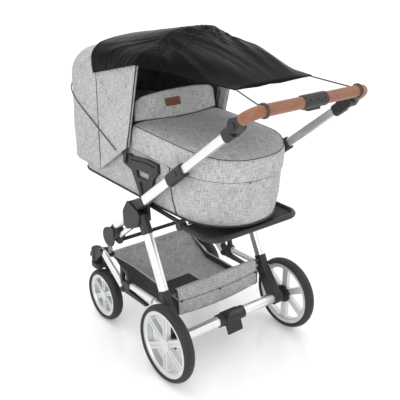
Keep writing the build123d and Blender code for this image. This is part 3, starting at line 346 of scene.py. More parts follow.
def rounded_line(corners, radii, count, closed=False):
    """Line through corners with round bends, as evenly spaced points."""
    corners = [Vector(corner) for corner in corners]
    points = [] if closed else [corners[0]]
    inner = range(len(corners)) if closed else range(1, len(corners) - 1)
    for index in inner:
        corner, radius = corners[index], radii[index if closed else index - 1]
        back = (corners[index - 1] - corner).normalized()
        ahead = (corners[(index + 1) % len(corners)] - corner).normalized()
        half = back.angle(ahead) / 2
        if radius <= 0 or half > pi / 2 - 0.001:
            points.append(corner)
            continue
        centre = corner + (back + ahead).normalized() * radius / sin(half)
        start = corner + back * radius / tan(half) - centre
        end = corner + ahead * radius / tan(half) - centre
        for step in range(13):
            points.append(centre + start.normalized().slerp(end.normalized(), step / 12) * radius)
    points.append(points[0].copy() if closed else corners[-1])
    return spaced(points, count)


def between_rows(keys, places, where):
    """A row of points smoothly between key rows that stand at increasing places."""
    index = 0
    while index < len(places) - 2 and places[index + 1] < where:
        index += 1
    t = (where - places[index]) / (places[index + 1] - places[index])
    before, after = max(index - 1, 0), min(index + 2, len(places) - 1)
    row = []
    for a, b, c, d in zip(keys[before], keys[index], keys[index + 1], keys[after]):
        rise_b = (c - a) / (places[index + 1] - places[before])
        rise_c = (d - b) / (places[after] - places[index])
        span = places[index + 1] - places[index]
        row.append(
            b * (2 * t**3 - 3 * t**2 + 1) + rise_b * span * (t**3 - 2 * t**2 + t)
            + c * (3 * t**2 - 2 * t**3) + rise_c * span * (t**3 - t**2)
        )
    return row


def edge_of(rows):
    """Closed line of points round a grid of rows."""
    return [
        *[row[0] for row in rows], *rows[-1][1:], *[row[-1] for row in reversed(rows[:-1])],
        *reversed(rows[0][1:-1]),
    ]


def skin(rows):
    """Mesh over rows of points, with a cloth map in metres measured along the rows."""
    mesh = bmesh.new()
    across, along = len(rows[0]) - 1, len(rows) - 1
    bmesh.ops.create_grid(mesh, x_segments=across, y_segments=along, size=0.5)
    rise, sideways = [0.0], []
    for lower, upper in zip(rows, rows[1:]):
        rise.append(rise[-1] + (upper[across // 2] - lower[across // 2]).length * MM)
    for row in rows:
        reach = [0.0]
        for first, second in zip(row, row[1:]):
            reach.append(reach[-1] + (second - first).length * MM)
        sideways.append([place - reach[across // 2] for place in reach])
    cloth_map = mesh.loops.layers.uv.new("UVMap")
    for vert in mesh.verts:
        i = round((vert.co.x + 0.5) * across)
        j = round((vert.co.y + 0.5) * along)
        vert.co = rows[j][i]
        for loop in vert.link_loops:
            loop[cloth_map].uv = (sideways[j][i], rise[j])
    return mesh


def mesh_data(mesh, name):
    """Turns a bmesh into mesh data, and frees it."""
    data = bpy.data.meshes.new(name)
    mesh.to_mesh(data)
    mesh.free()
    return data


def linked(name, data):
    """Object of that data, in the scene."""
    made = bpy.data.objects.new(name, data)
    bpy.context.collection.objects.link(made)
    return made


def placed(data, name, body, finish, smooth=True):
    """Piece of a mesh in metres, on a body if one is given."""
    wear(data, finish)
    if smooth:
        data.polygons.foreach_set("use_smooth", [True] * len(data.polygons))
    piece = linked(name, data)
    if body:
        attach(piece, body)
    return piece


def finished(mesh, name, body, finish, smooth=True):
    """Piece of a mesh that was made in millimetres."""
    bmesh.ops.remove_doubles(mesh, verts=mesh.verts, dist=0.01)
    bmesh.ops.scale(mesh, vec=(MM, MM, MM), verts=mesh.verts)
    return placed(mesh_data(mesh, name), name, body, finish, smooth)


def thicken(piece, thickness, offset=-1.0):
    """Gives a sheet its wall, inwards for offset -1 and to both sides for 0."""
    wall = piece.modifiers.new("wall", "SOLIDIFY")
    wall.thickness = thickness
    wall.offset = offset


def swept(name, points, radius, kind, ring, closed=False):
    """Mesh along a line in metres: a round tube, or the bare line where radius is 0."""
    curve = bpy.data.curves.new(name, "CURVE")
    curve.dimensions = "3D"
    curve.bevel_depth = radius
    curve.bevel_resolution = ring
    curve.use_fill_caps = True
    spline = curve.splines.new(kind)
    spline.points.add(len(points) - 1)
    for place, point in zip(spline.points, points):
        place.co = (*point, 1)
    spline.order_u = 3
    spline.use_endpoint_u = True
    spline.use_cyclic_u = closed
    holder = bpy.data.objects.new(name, curve)
    data = bpy.data.meshes.new_from_object(holder)
    bpy.data.objects.remove(holder)
    bpy.data.curves.remove(curve)
    return data


def piping(name, points, radius, body, finish=BLACK_THREAD, closed=False):
    """Thin round trim along a row of points."""
    tube = swept(name, [Vector(point) * MM for point in points], radius * MM, "POLY", 2, closed)
    return placed(tube, name, body, finish)


def bevelled(mesh, edges, offset, segments):
    """Rounds edges off."""
    bmesh.ops.bevel(
        mesh, geom=edges, offset=offset, segments=segments, profile=0.5, affect="EDGES", material=-1
    )


def flowing(points, count):
    """Evenly spaced points of a smooth line that passes through every given point."""
    points = [Vector(point) for point in points]
    line = [points[0]]
    for index in range(len(points) - 1):
        a, b = points[max(index - 1, 0)], points[index]
        c, d = points[index + 1], points[min(index + 2, len(points) - 1)]
        for step in range(1, 13):
            t = step / 12
            line.append(
                0.5 * (2 * b + (c - a) * t + (2 * a - 5 * b + 4 * c - d) * t * t
                       + (3 * b - a - 3 * c + d) * t ** 3)
            )
    return spaced(line, count)


def soft_dents(mesh, depth, scale, seed):
    """Small soft dents along the normals, as cloth over a frame has."""
    mesh.normal_update()
    for vert in mesh.verts:
        vert.co += vert.normal * depth * noise.noise(vert.co / scale + Vector((seed, seed, seed)))


# ---- camera, floor and lights ----
def look_from(place, azimuth, elevation, roll, lens):
    """Camera at a place, looking level-headed along an azimuth and down by an elevation."""
    a, e, tilt = radians(azimuth), radians(elevation), radians(roll)
    back = Vector((sin(a) * cos(e), -cos(a) * cos(e), sin(e)))
    right = (-back).cross(Vector((0, 0, 1))).normalized()
    up = right.cross(-back)
    right, up = right * cos(tilt) + up * sin(tilt), up * cos(tilt) - right * sin(tilt)
    data = bpy.data.cameras.new("view")
    data.lens = lens
    data.sensor_width = 36.0
    camera = linked("view", data)
    camera.matrix_world = Matrix(
        [(right[i], up[i], back[i], place[i]) for i in range(3)] + [(0, 0, 0, 1)]
    )
    bpy.context.scene.camera = camera


def soft_light(name, place, target, size, power):
    """White rectangular lamp of a size in metres, aimed at a target."""
    data = bpy.data.lights.new(name, "AREA")
    data.shape = "RECTANGLE"
    data.size, data.size_y = size
    data.energy = power
    lamp = linked(name, data)
    lamp.location = place
    lamp.rotation_euler = (Vector(target) - Vector(place)).to_track_quat("-Z", "Y").to_euler()


bpy.context.scene.view_settings.view_transform = "Standard"
look_from((1.3627, 1.7575, 1.4303), azimuth=141.65, elevation=22.51, roll=0.345, lens=61.388)

floor_finish = Finish("pale_floor", Roughness=0.15, Emission_Color=(1, 1, 1, 1), Emission_Strength=0.12)
floor_cloud = floor_finish.noise(floor_finish.place(), 1.2, 2.0)
floor_finish.feed(Base_Color=floor_finish.blend(floor_cloud, (0.93, 0.93, 0.93), (0.95, 0.95, 0.95)))
floor_mesh = bmesh.new()
bmesh.ops.create_grid(floor_mesh, x_segments=2, y_segments=2, size=14.0)
floor = linked("floor", mesh_data(floor_mesh, "floor"))
wear(floor.data, floor_finish.material)

surroundings = bpy.data.worlds.new("studio")
surroundings.use_nodes = True
sky = surroundings.node_tree.nodes["Background"]
sky.inputs["Color"].default_value = (1, 1, 1, 1)
sky.inputs["Strength"].default_value = 1.0
bpy.context.scene.world = surroundings
soft_light("key", (2.6, 1.9, 1.5), (0, 0, 0.6), (1.6, 2.0), 30)
soft_light("overhead", (0.2, -0.4, 3.2), (0, 0, 0.6), (1.8, 1.8), 16)
soft_light("side", (-2.4, 1.2, 1.6), (0, 0, 0.7), (1.4, 2.0), 12)


# ---- elastic cords of the shade, in metres ----
CORD_D = 0.0042
GRIP_AXIS = (0.526, 0.974)           # Y and Z of the grip's middle line
LOOP_X, LOOP_R, LOOP_PITCH = 0.178, 0.0194, 0.0043
LOOP_START, LOOP_STEPS, LOOP_TURNS = 154, 14, 2


def cord_piece(name, points, node):
    """Elastic cord of the shade along the smooth spline of its control points, out of the first."""
    line = swept("line", points, 0, "NURBS", 4)
    tube = swept(name, points, CORD_D / 2, "NURBS", 4)
    piece = placed(tube, name, "sun_shade", ELASTIC)
    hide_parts(node)
    return piece


def loop_route(side):
    """From the shade's corner straight to the grip and then round it."""
    y, z = GRIP_AXIS
    route = [(side * 0.147, 0.3788, 0.995), (side * 0.1755, 0.492, 0.9834)]
    for step in range(LOOP_STEPS * LOOP_TURNS + 1):
        turn = radians(LOOP_START + 360 * step / LOOP_STEPS)
        drift = side * (LOOP_X + LOOP_PITCH * step / LOOP_STEPS)
        reach = LOOP_R / cos(pi / LOOP_STEPS)
        route.append((drift, y + reach * cos(turn), z + reach * sin(turn)))
    return route


front_elastics = []
for side, word in SIDES:
    elastic = cord_piece(f"front_elastic_{word}", loop_route(side), f"shade_cord_{word}")
    front_elastics.append(elastic)

BACK_SIDE = [
    (0.2105, -0.165, 0.692), (0.2114, -0.38, 0.7935), (0.2115, -0.4, 0.803), (0.205, -0.468, 0.834),
    (0.18, -0.518, 0.856), (0.138, -0.544, 0.868), (0.08, -0.549, 0.872), (0.06, -0.549, 0.872),
]
back_route = BACK_SIDE + [(-x, y, z) for x, y, z in reversed(BACK_SIDE)]
cord_piece("back_elastic", back_route, "shade_cord_back")


# ---- hood ----
HOOD_HEM, HOOD_CROWN = 590.0, 16.0
HOOD_HALF, HOOD_SEAM_Y, HOOD_SEAM_TOP, HOOD_SEAM_CORNER = 207.5, -279.0, 1040.0, 60.0
HOOD_END_Y = -541
HOOD_BACK = [                        # Y, half width, top and corner of each arch
    (HOOD_SEAM_Y, HOOD_HALF, HOOD_SEAM_TOP, HOOD_SEAM_CORNER), (-360, 207.5, 1029, 62),
    (-440, 205, 1000, 66), (-500, 182, 953, 64), (-531, 148, 908, 56), (HOOD_END_Y, 100, 850, 44),
]
HOOD_BACK_RUN = [0, 40, 75, 125, 205, 290]
FRONT_FOOT, FRONT_TOP = Vector((0, -98, 718)), Vector((0, -6, 1092))
FRONT_UP = (FRONT_TOP - FRONT_FOOT).normalized()
FRONT_OUT = Vector((0, FRONT_UP.z, -FRONT_UP.y))
FRONT_RUN = (FRONT_TOP - FRONT_FOOT).length
ACROSS = 96
SEAM_PULL = 1.2


def arch_line(half, low, high, crown, corner):
    """(X, height) places of a hood arch, from its right hem over the top to its left hem."""
    shoulder = high - crown
    peak = high + half * 0.8 * (sqrt(1 + (crown / half) ** 2) - 1)
    corners = [(half, 0, low), (half, 0, shoulder), (0, 0, peak), (-half, 0, shoulder), (-half, 0, low)]
    line = rounded_line(corners, [corner, half * 0.8, corner], ACROSS + 1)
    return [(point.x, point.z) for point in line]


def back_row(y, half, top, corner, inset=0.0):
    """Arch of the hood's rear panel at a Y."""
    return [
        Vector((x, y, z)) for x, z in arch_line(half - inset, HOOD_HEM, top - inset, HOOD_CROWN, corner)
    ]


def by_front_bow(x, run, out):
    """Place at an X and a run up the front bow's plane, or a way out in front of it."""
    return Vector((x, 0, 0)) + FRONT_FOOT + FRONT_UP * run + FRONT_OUT * out


def front_row(inset=0.0, back=0.0):
    """Arch of the hood's front edge, or one set back from it along the hood."""
    arch = arch_line(HOOD_HALF - inset, 0, FRONT_RUN - inset, 58, 52)
    return [by_front_bow(x, run, -back) for x, run in arch]


def smooth_rows(keys, places, count):
    """Rows spread evenly between key rows."""
    reach = places[-1] - places[0]
    return [between_rows(keys, places, places[0] + reach * i / (count - 1)) for i in range(count)]


def seam_pull(row, depth):
    """Draws a row of cloth in a little, as beside a seam."""
    return [point - Vector((point.x, 0, point.z - 700)).normalized() * depth for point in row]


def follow_hood_back(piece):
    """Bakes a piece of the hood's rear panel into its own mesh, without a body."""
    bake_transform(piece)


def follow_hood_front(piece):
    """Bakes a piece of the hood's front panel, which spans from the middle bow to the front bow, into its
    own mesh, without a body.
    """
    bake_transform(piece)


back_keys = [back_row(*place) for place in reversed(HOOD_BACK)]
closing = []
for half, top, proud in ((4, 760, 4.5), (40, 800, 4.0), (76, 832, 2.5)):
    arch = arch_line(half, HOOD_HEM + 4, top, 3, min(half * 0.9, 30))
    closing.append([Vector((x, HOOD_END_Y - proud, z)) for x, z in arch])
for point in closing[0]:
    point.x = 0.0
rear_rows = closing + smooth_rows(back_keys, HOOD_BACK_RUN, 44)
rear_rows[-1] = seam_pull(rear_rows[-1], SEAM_PULL)
rear_mesh = skin(rear_rows)
soft_dents(rear_mesh, 3.0, 95.0, 3.1)
soft_dents(rear_mesh, 0.8, 26.0, 7.7)
hood_rear = finished(rear_mesh, "hood_rear_cloth", None, GREY_CLOTH)
thicken(hood_rear, 0.0016)
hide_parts("hood_rear_panel")
follow_hood_back(hood_rear)

seam_row = back_row(*HOOD_BACK[0])
front_rows = []
for index in range(34):
    t = index / 33
    row = between_rows([seam_row, front_row()], [0, 1], t)
    front_rows.append(seam_pull(row, sin(pi * t) * 2.0))
front_rows[0] = seam_pull(front_rows[0], SEAM_PULL)
front_mesh = skin(front_rows)
soft_dents(front_mesh, 1.6, 80.0, 1.3)
soft_dents(front_mesh, 0.6, 24.0, 5.7)
hood_front = finished(front_mesh, "hood_front_cloth", None, GREY_CLOTH)
thicken(hood_front, 0.0016)
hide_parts("hood_front_panel")
follow_hood_front(hood_front)

piping("hood_seam_piping", seam_row, 2.1, "hood_mid")
piping("hood_front_binding", front_row(1.0, 1.0), 2.6, "hood_front")


# ---- sun shade ----
SHADE_ACROSS = 120
HOOD_ROWS, TENT_ROWS = 40, 60
SHADE_HALF = HOOD_HALF + 7.0
SHADE_REAR_Y, TENT_FOLD_Y, SHADE_FRONT_Y = -285, 190, 377
APEX_ALONG = 0.3          # place of the front bow's corner across the shade, from either hem
CLOTH_WIDE = 560          # rough width of the shade's cloth, for the spread of its folds
FOLDS_GROWN, FOLDS_GONE = 70, 520    # distances from the corner
COARSE_FOLD, FINE_FOLD = 15, 7


def whole_line(half_line):
    """Smooth cross section, at no Y, from the places of its one half."""
    line = [(x, 0, z) for x, z in half_line] + [(-x, 0, z) for x, z in reversed(half_line[:-1])]
    return flowing(line, SHADE_ACROSS + 1)


def shade_row(half_line, y):
    """The shade's edge or fold at a Y, from the places of its one half."""
    return [Vector((point.x, y, point.z)) for point in whole_line(half_line)]


CORNER_X, CORNER_Z, CORNER_R = SHADE_HALF - 64, 972, 71
seam_corner = [
    (CORNER_X + CORNER_R * cos(radians(a)), CORNER_Z + CORNER_R * sin(radians(a))) for a in (22, 50, 78)
]
seam_shade = shade_row([(SHADE_HALF, 940), *seam_corner, (82, 1054), (0, 1057)], SHADE_REAR_Y)
front_half = [                       # X and height along the front bow's plane
    (214.5, 300), (214, 311), (198, 335), (171, 349), (137, 361), (106, 383), (82, 398), (40, 404), (0, 405),
]
bow_shade = [by_front_bow(point.x, point.z, 4) for point in whole_line(front_half)]
fold_shade = shade_row(
    [(173, 1001), (162, 1015), (144, 1037), (121, 1054), (90, 1059), (60, 1060), (0, 1060)], TENT_FOLD_Y
)
edge_shade = shade_row(
    [(151, 996), (142, 996.4), (128, 996.8), (106, 997.2), (50, 997.8), (0, 998)], SHADE_FRONT_Y
)


def shade_fold(across, run, stiff=1.0):
    """Height of the folds that spread from the two corners of the hood's front bow."""
    rise = 0.0
    for corner, seed in ((APEX_ALONG, 2.0), (1 - APEX_ALONG, 9.0)):
        sideways = (across - corner) * CLOTH_WIDE * (1 if corner < 0.5 else -1)
        reach = sqrt(sideways * sideways + run * run)
        turn = sideways / (abs(run) + 26)
        spread = held(reach / FOLDS_GROWN) * held(1 - reach / FOLDS_GONE)
        wave = noise.noise(Vector((turn * 3.1, seed, 0.35 * run / 400)))
        fine = noise.noise(Vector((turn * 7.0, seed + 4, 0.5 * run / 400)))
        height = spread * (wave * COARSE_FOLD + fine * FINE_FOLD)
        rise += height * stiff * (1.0 if sideways < 90 else 0.35)
    return rise


shade_rows = []
for index in range(HOOD_ROWS):
    t = index / HOOD_ROWS
    row = between_rows([seam_shade, bow_shade], [0, 1], t)
    for i, point in enumerate(row):
        across = i / SHADE_ACROSS
        low = held(1 - min(across, 1 - across) / 0.2)
        gather = noise.noise(Vector((t * 15, 3.0 + (across > 0.5) * 5, across * 2.5))) * 3.2
        gather *= low * (0.45 + 0.55 * (1 - t))
        lift = gather + shade_fold(across, (t - 1) * 270, 0.28) + 0.6 * sin(pi * t)
        away = Vector((point.x, 0, (point.z - 800) * 0.8)).normalized()
        row[i] = point + away * max(lift, -3.5)
    shade_rows.append(row)
for index in range(TENT_ROWS + 1):
    t = index / TENT_ROWS
    row = between_rows([bow_shade, fold_shade, edge_shade], [0, 0.54, 1], t)
    for i, point in enumerate(row):
        across = i / SHADE_ACROSS
        side = min(across, 1 - across)
        loose = held(t / 0.12) * held((1 - t) / 0.25)
        taut = held(side / 0.03) * 0.75 + 0.25
        lift = shade_fold(across, t * 400) * loose * taut
        ripple = noise.noise(Vector((point.x / 60, point.y / 170, 4.4))) * 3.0 * loose
        hollow = -2.5 * sin(pi * t) * sin(pi * across) ** 2
        row[i] = point + Vector((0, 0, lift + ripple + hollow))
    shade_rows.append(row)
EDGE_WAVE = [0.0, -1.5, -4.0, -2.0, -5.0, -3.0, -1.0, 0.0]
for i, point in enumerate(shade_rows[-1]):
    place = i / SHADE_ACROSS * (len(EDGE_WAVE) - 1)
    before = min(int(place), len(EDGE_WAVE) - 2)
    part = place - before
    point.z += EDGE_WAVE[before] * (1 - part) + EDGE_WAVE[before + 1] * part
shade = finished(skin(shade_rows), "sun_shade_cloth", "sun_shade", SHADE_CLOTH)
thicken(shade, 0.0008)
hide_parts("sun_shade")
shade_hem = piping("sun_shade_hem", edge_of(shade_rows), 1.9, "sun_shade", SHADE_CLOTH, closed=True)
for piece in (shade, shade_hem, *front_elastics):
    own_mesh(piece)


# ---- carrycot ----
COT_HALF, COT_HEAD, COT_FOOT = 183.0, -518.0, 352.0
COT_BOTTOM, COT_FLOOR = 536.0, 554.0
HEAD_CORNER, FOOT_CORNER = 110, 165
NARROW_TOP, NARROW_DEPTH = 770, 230  # the narrowing grows over this depth below this height
NARROW_FROM, NARROW_RUN = -40, 390   # and over this run towards the foot end
RIM_HEAD, RIM_SLOPE = 790.0, 35.0 / 870.0


def rim(y):
    """Height of the cot's slanted rim."""
    return RIM_HEAD - RIM_SLOPE * (y - COT_HEAD)


def narrowed(point):
    """Draws the cot's foot end in a little, more towards its bottom."""
    low = held((NARROW_TOP - point.z) / NARROW_DEPTH)
    footward = held((point.y - NARROW_FROM) / NARROW_RUN)
    share = footward * footward * (0.05 + 0.085 * low)
    return Vector((point.x * (1 - share), point.y - footward * (6 + 10 * low), point.z))


def cot_corners(inset, head):
    """Corners of the cot's plan with its head end at that Y, and the rest set in."""
    half, foot = COT_HALF - inset, COT_FOOT - inset
    return [(half, head, 0), (half, foot, 0), (-half, foot, 0), (-half, head, 0)]


def cot_ring(inset, height, count=161, drop=0.0):
    """Closed ring round the cot's plan, at a height, or below the slanted rim by a drop."""
    radii = [max(r - inset, 1) for r in (HEAD_CORNER, FOOT_CORNER, FOOT_CORNER, HEAD_CORNER)]
    ring = rounded_line(cot_corners(inset, COT_HEAD + inset), radii, count, closed=True)
    for point in ring:
        point.z = rim(point.y) - drop if height is None else height
    return [narrowed(point) for point in ring]


def cap_open_ends(mesh):
    """Closes the flat ends of a ringed shell."""
    bmesh.ops.remove_doubles(mesh, verts=mesh.verts, dist=0.01)
    edges = [edge for edge in mesh.edges if edge.is_boundary]
    bmesh.ops.holes_fill(mesh, edges=edges, sides=0)
    bmesh.ops.recalc_face_normals(mesh, faces=mesh.faces)


lower_ring, upper_ring = cot_ring(-0.8, 606), cot_ring(-0.6, None, drop=30)
cot_rows = [
    cot_ring(18, COT_FLOOR), cot_ring(17, 600), cot_ring(15, None, drop=30), cot_ring(14, None, drop=4),
    cot_ring(10, None, drop=-1), cot_ring(5, None, drop=-1.5), cot_ring(0.5, None, drop=3), upper_ring,
]
for step in (0.15, 0.3, 0.45, 0.6, 0.75, 0.9, 1.0):
    swell = 1.2 * sin(pi * step)
    row = [high.lerp(low, step) for high, low in zip(upper_ring, lower_ring)]
    cot_rows.append([point + Vector((point.x, point.y + 80, 0)).normalized() * swell for point in row])
for inset, height in ((2.5, 580), (6, 558), (10, 541), (16, 537.5), (34, COT_BOTTOM + 1)):
    cot_rows.append(cot_ring(inset, height))
cot_mesh = skin(cot_rows)
cap_open_ends(cot_mesh)
soft_dents(cot_mesh, 1.1, 60.0, 2.2)
cot = finished(cot_mesh, "cot_outer_cloth", "seat_unit", GREY_CLOTH)
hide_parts("cot_shell")
piping("cot_base_edge", cot_ring(7.5, 540.5)[:-1], 3.2, "seat_unit", BLACK_PLASTIC, closed=True)
SIDE_SEAM = [(184.6, 112, 705), (185.0, 119, 640), (184.6, 126, 600), (181.5, 132, 575), (176, 136, 545)]
FOOT_SEAM = [(60, 352.9, 690), (60, 352.4, 640), (60, 351.6, 600), (60, 347, 565)]
for side, word in SIDES:
    side_seam = flowing([narrowed(Vector((side * x, y, z))) for x, y, z in SIDE_SEAM], 24)
    piping(f"cot_side_seam_{word}", side_seam, 1.8, "seat_unit")
    foot_seam = flowing([narrowed(Vector((side * x, y, z))) for x, y, z in FOOT_SEAM], 16)
    piping(f"cot_foot_seam_{word}", foot_seam, 0.6, "seat_unit", GREY_CLOTH)


# ---- apron over the foot half ----
APRON_ACROSS = 180
APRON_HEAD, APRON_UNDER = -70.0, 25.0
SPINE_FOOT, CROWN_TOP = 186.0, 806
BAND_DEPTH, BAND_INSET, EDGE_RISE = 62, -2.6, 20


def apron_ring(inset):
    """Open ring round the foot half, from the left edge by the hood to the right one."""
    corners = cot_corners(inset, APRON_HEAD - APRON_UNDER)
    return rounded_line(corners, [FOOT_CORNER - inset] * 2, APRON_ACROSS + 1)


def edge_height(y):
    """Height of the apron's piped edge."""
    part = held((y - 200) / 150)
    return rim(y) + EDGE_RISE - 12 * part * part * (3 - 2 * part)


def crown_height(y):
    """Height of the apron's spine."""
    return CROWN_TOP - 0.055 * (y - APRON_HEAD) - 0.00008 * max(y - 60, 0) ** 2


def apron_top(x, y, part):
    """Point of the apron's quilted top, where part runs from 0 at the piping to 1 at the spine."""
    fullness = 2.4 + 1.4 * held((120 - y) / 200)
    swell = 1 - (1 - part) ** fullness
    return Vector((x, y, edge_height(y) * (1 - swell) + crown_height(min(y, 300)) * swell))


apron_rows = []
for drop, inset in (
    (BAND_DEPTH, BAND_INSET), (61.5, -4.6), (58, -5.6), (44, -6.4), (26, -6.6), (10, -6.2), (-4, -5.0),
    (-13, -2.6),
):
    ring = apron_ring(inset)
    for point in ring:
        shortfall = (EDGE_RISE - (edge_height(point.y) - rim(point.y))) * held((30 - drop) / 45)
        point.z = rim(point.y) - drop - shortfall
    apron_rows.append(ring)
edge_ring = apron_ring(-0.5)
piped = [Vector((point.x, point.y, edge_height(point.y))) for point in edge_ring]
apron_rows.append(piped)
for step in range(1, 27):
    part = step / 26
    row = []
    for point in edge_ring:
        spine = Vector((0, min(max(point.y, APRON_HEAD - APRON_UNDER), SPINE_FOOT), 0))
        place = point.lerp(spine, part)
        row.append(apron_top(place.x, place.y, part))
    apron_rows.append(row)
for row in apron_rows:
    for point in row:
        forward = held((APRON_HEAD + 20 - point.y) / 45)
        point.y += APRON_UNDER * (1 - (point.x / 190) ** 2) * forward
apron_rows = [[narrowed(point) for point in row] for row in apron_rows]
apron_mesh = skin(apron_rows)
bmesh.ops.remove_doubles(apron_mesh, verts=apron_mesh.verts, dist=0.01)
apron_mesh.normal_update()
if sum(face.normal.z for face in apron_mesh.faces) < 0:
    bmesh.ops.reverse_faces(apron_mesh, faces=apron_mesh.faces)
apron_mesh.normal_update()
for vert in apron_mesh.verts:
    x, y, z = vert.co
    on_top = held((z - edge_height(y) - 1) / 6)
    corner = held(1 - sqrt((abs(x) - 95) ** 2 + (y - 300) ** 2) / 95)
    crumple = noise.noise(Vector((x / 16 + y / 30, y / 16 - x / 40, 2.0))) * 3.0 * corner * on_top
    broad = noise.noise(vert.co / 70 + Vector((5, 5, 5))) * 1.8
    small = noise.noise(vert.co / 24) * 0.5
    vert.co += vert.normal * (crumple + (broad + small) * (0.35 + 0.65 * on_top))
apron = finished(apron_mesh, "apron_cloth", "seat_unit", GREY_CLOTH)
thicken(apron, 0.0035)
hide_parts("apron")
apron_edge = [narrowed(point) + Vector((0, 0, 0.4)) for point in piped]
piping("apron_piping", apron_edge, 1.2, "seat_unit")
# black thread line along the lower edge of the apron's band
band_lower_line = [
    narrowed(Vector((point.x, point.y, rim(point.y) - BAND_DEPTH - 0.3))) for point in apron_ring(BAND_INSET)
]
piping("apron_band_lower_line", band_lower_line, 1.3, "seat_unit")


# ---- gathered lining of the hood ----
LINING_GAP, GATHER_DEPTH = 12.5, 4.6
LINING_ROWS = 60


def gathered(rows, first):
    """Small folds that run along a lining's rows, counted on from a first row."""
    for j, row in enumerate(rows):
        for i, point in enumerate(row):
            place = Vector((i * 0.42, (first + j) * 0.035, 1.0))
            fold = (noise.noise(place) + noise.noise(place * 2.3) * 0.4) * GATHER_DEPTH
            inward = Vector((point.x, 0, (point.z - 760) * 0.7)).normalized()
            row[i] = point - inward * max(fold + 0.8, -2.4)
    return rows


lining_back_keys = [back_row(*place, inset=LINING_GAP) for place in reversed(HOOD_BACK)]
lining_rows = gathered(smooth_rows(lining_back_keys, HOOD_BACK_RUN, LINING_ROWS), 0)
for point in lining_rows[0]:
    point.y += 6
lining_end = [point + Vector((-point.x * 0.92, 0, (700 - point.z) * 0.6)) for point in lining_rows[0]]
lining_rear = finished(skin([lining_end] + lining_rows), "hood_lining_rear", None, LINING_CLOTH_PAINTED_LIGHTER)
thicken(lining_rear, 0.0006)
follow_hood_back(lining_rear)
lining_seam = back_row(*HOOD_BACK[0], inset=LINING_GAP)
lining_front_rows = [
    between_rows([lining_seam, front_row(LINING_GAP)], [0, 1], 0.84 * j / 50) for j in range(51)
]
lining_front = finished(
    skin(gathered(lining_front_rows, LINING_ROWS)), "hood_lining_front", None, LINING_CLOTH_PAINTED_LIGHTER
)
thicken(lining_front, 0.0006)
follow_hood_front(lining_front)


# ---- wind flap of the apron ----
FLAP_HALF, FLAP_HEIGHT = 175.0, 95.0
FLAP_COLUMNS, FLAP_ROWS = 72, 26


def flap_half(t):
    """Half width of the flap at a share of its height."""
    return FLAP_HALF - 7 * t - 30 * held((t - 0.62) / 0.38) ** 3


def flap_point(u, t, side):
    """Point on the flap's front (side 1) or back (side -1)."""
    half = flap_half(t)
    x = u * half
    foot_y = -56 - 42 * (x / FLAP_HALF) ** 2
    foot_z = CROWN_TOP - 5 * (abs(x) / COT_HALF) ** 4
    fat = 6.0 * sqrt(max(0.0, 1 - abs(u) ** 8)) * sqrt(max(0.0, 1 - abs(2 * t - 1) ** 5))
    sag = noise.noise(Vector((x / 70, t * 1.6, 3.0))) * 2.6
    y = foot_y - 0.13 * FLAP_HEIGHT * t + side * fat + sag - 5.0 * sin(pi * t) * (1 - u * u)
    return Vector((x, y, foot_z + t * (FLAP_HEIGHT - 15 * u * u)))


def flap_row(t, side):
    """Row of points across the flap's front or back, at a share of its height."""
    return [flap_point(u, t, side) for u in side_to_side(FLAP_COLUMNS)]


flap_rows = [flap_row(j / FLAP_ROWS, 1) for j in range(FLAP_ROWS + 1)]
flap_rows += [flap_row(j / FLAP_ROWS, -1) for j in range(FLAP_ROWS - 1, -1, -1)]
flap_mesh = skin(flap_rows)
bmesh.ops.remove_doubles(flap_mesh, verts=flap_mesh.verts, dist=0.02)
bmesh.ops.recalc_face_normals(flap_mesh, faces=flap_mesh.faces)
flap = finished(flap_mesh, "apron_flap_cloth", "apron_flap", GREY_CLOTH)
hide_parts("apron_flap")
flap_foot = [flap_point(u, 0.0, 1) + Vector((0, 3.0, -0.5)) for u in side_to_side(60)]
piping("apron_flap_seam", flap_foot, 1.6, "apron_flap")


# ---- bare leather patch with a stitched edge, on the flap ----
PATCH_X, PATCH_UP, PATCH_SLANT = 41, 53, 0.16
PATCH_WIDE, PATCH_THICK, PATCH_HIGH = 58, 1.8, 28
STITCH_X, STITCH_Z = 25.5, 10.5


def on_patch(x, height, proud):
    """Place on the flap at an X and a height from the patch's middle."""
    x, height = PATCH_X + x + height * PATCH_SLANT, PATCH_UP + height
    t = height / FLAP_HEIGHT
    return flap_point(x / flap_half(t), t, 1) + Vector((0, proud, 0))


patch_mesh = bmesh.new()
bmesh.ops.create_cube(patch_mesh, size=1.0)
bmesh.ops.scale(patch_mesh, vec=(PATCH_WIDE, PATCH_THICK, PATCH_HIGH), verts=patch_mesh.verts)
corner_edges = [e for e in patch_mesh.edges if abs(e.verts[0].co.y - e.verts[1].co.y) > 1]
bevelled(patch_mesh, corner_edges, 4, 4)
bevelled(patch_mesh, [e for e in patch_mesh.edges if e.is_manifold and e.calc_face_angle() > 0.9], 0.7, 2)
bmesh.ops.subdivide_edges(
    patch_mesh, edges=[e for e in patch_mesh.edges if e.calc_length() > 12], cuts=7, use_grid_fill=True
)
for vert in patch_mesh.verts:
    x, proud, height = vert.co
    vert.co = on_patch(x, height, proud + 0.6)
finished(patch_mesh, "leather_patch", "apron_flap", PATCH_LEATHER, smooth=False)
stitch_corners = [
    (-STITCH_X, 0, -STITCH_Z), (STITCH_X, 0, -STITCH_Z), (STITCH_X, 0, STITCH_Z), (-STITCH_X, 0, STITCH_Z),
]
stitch_line = rounded_line(stitch_corners, [3] * 4, 60, closed=True)
piping(
    "leather_patch_stitches", [on_patch(point.x, point.z, 1.6) for point in stitch_line[:-1]], 0.45,
    "apron_flap", TAN_THREAD, closed=True,
)


# ---- mattress, filled by a short cloth simulation ----
def applied(piece):
    """Mesh of a piece with its modifiers applied. They are then taken off it."""
    bpy.context.view_layer.update()
    mesh = bpy.data.meshes.new_from_object(piece.evaluated_get(bpy.context.evaluated_depsgraph_get()))
    piece.modifiers.clear()
    return mesh


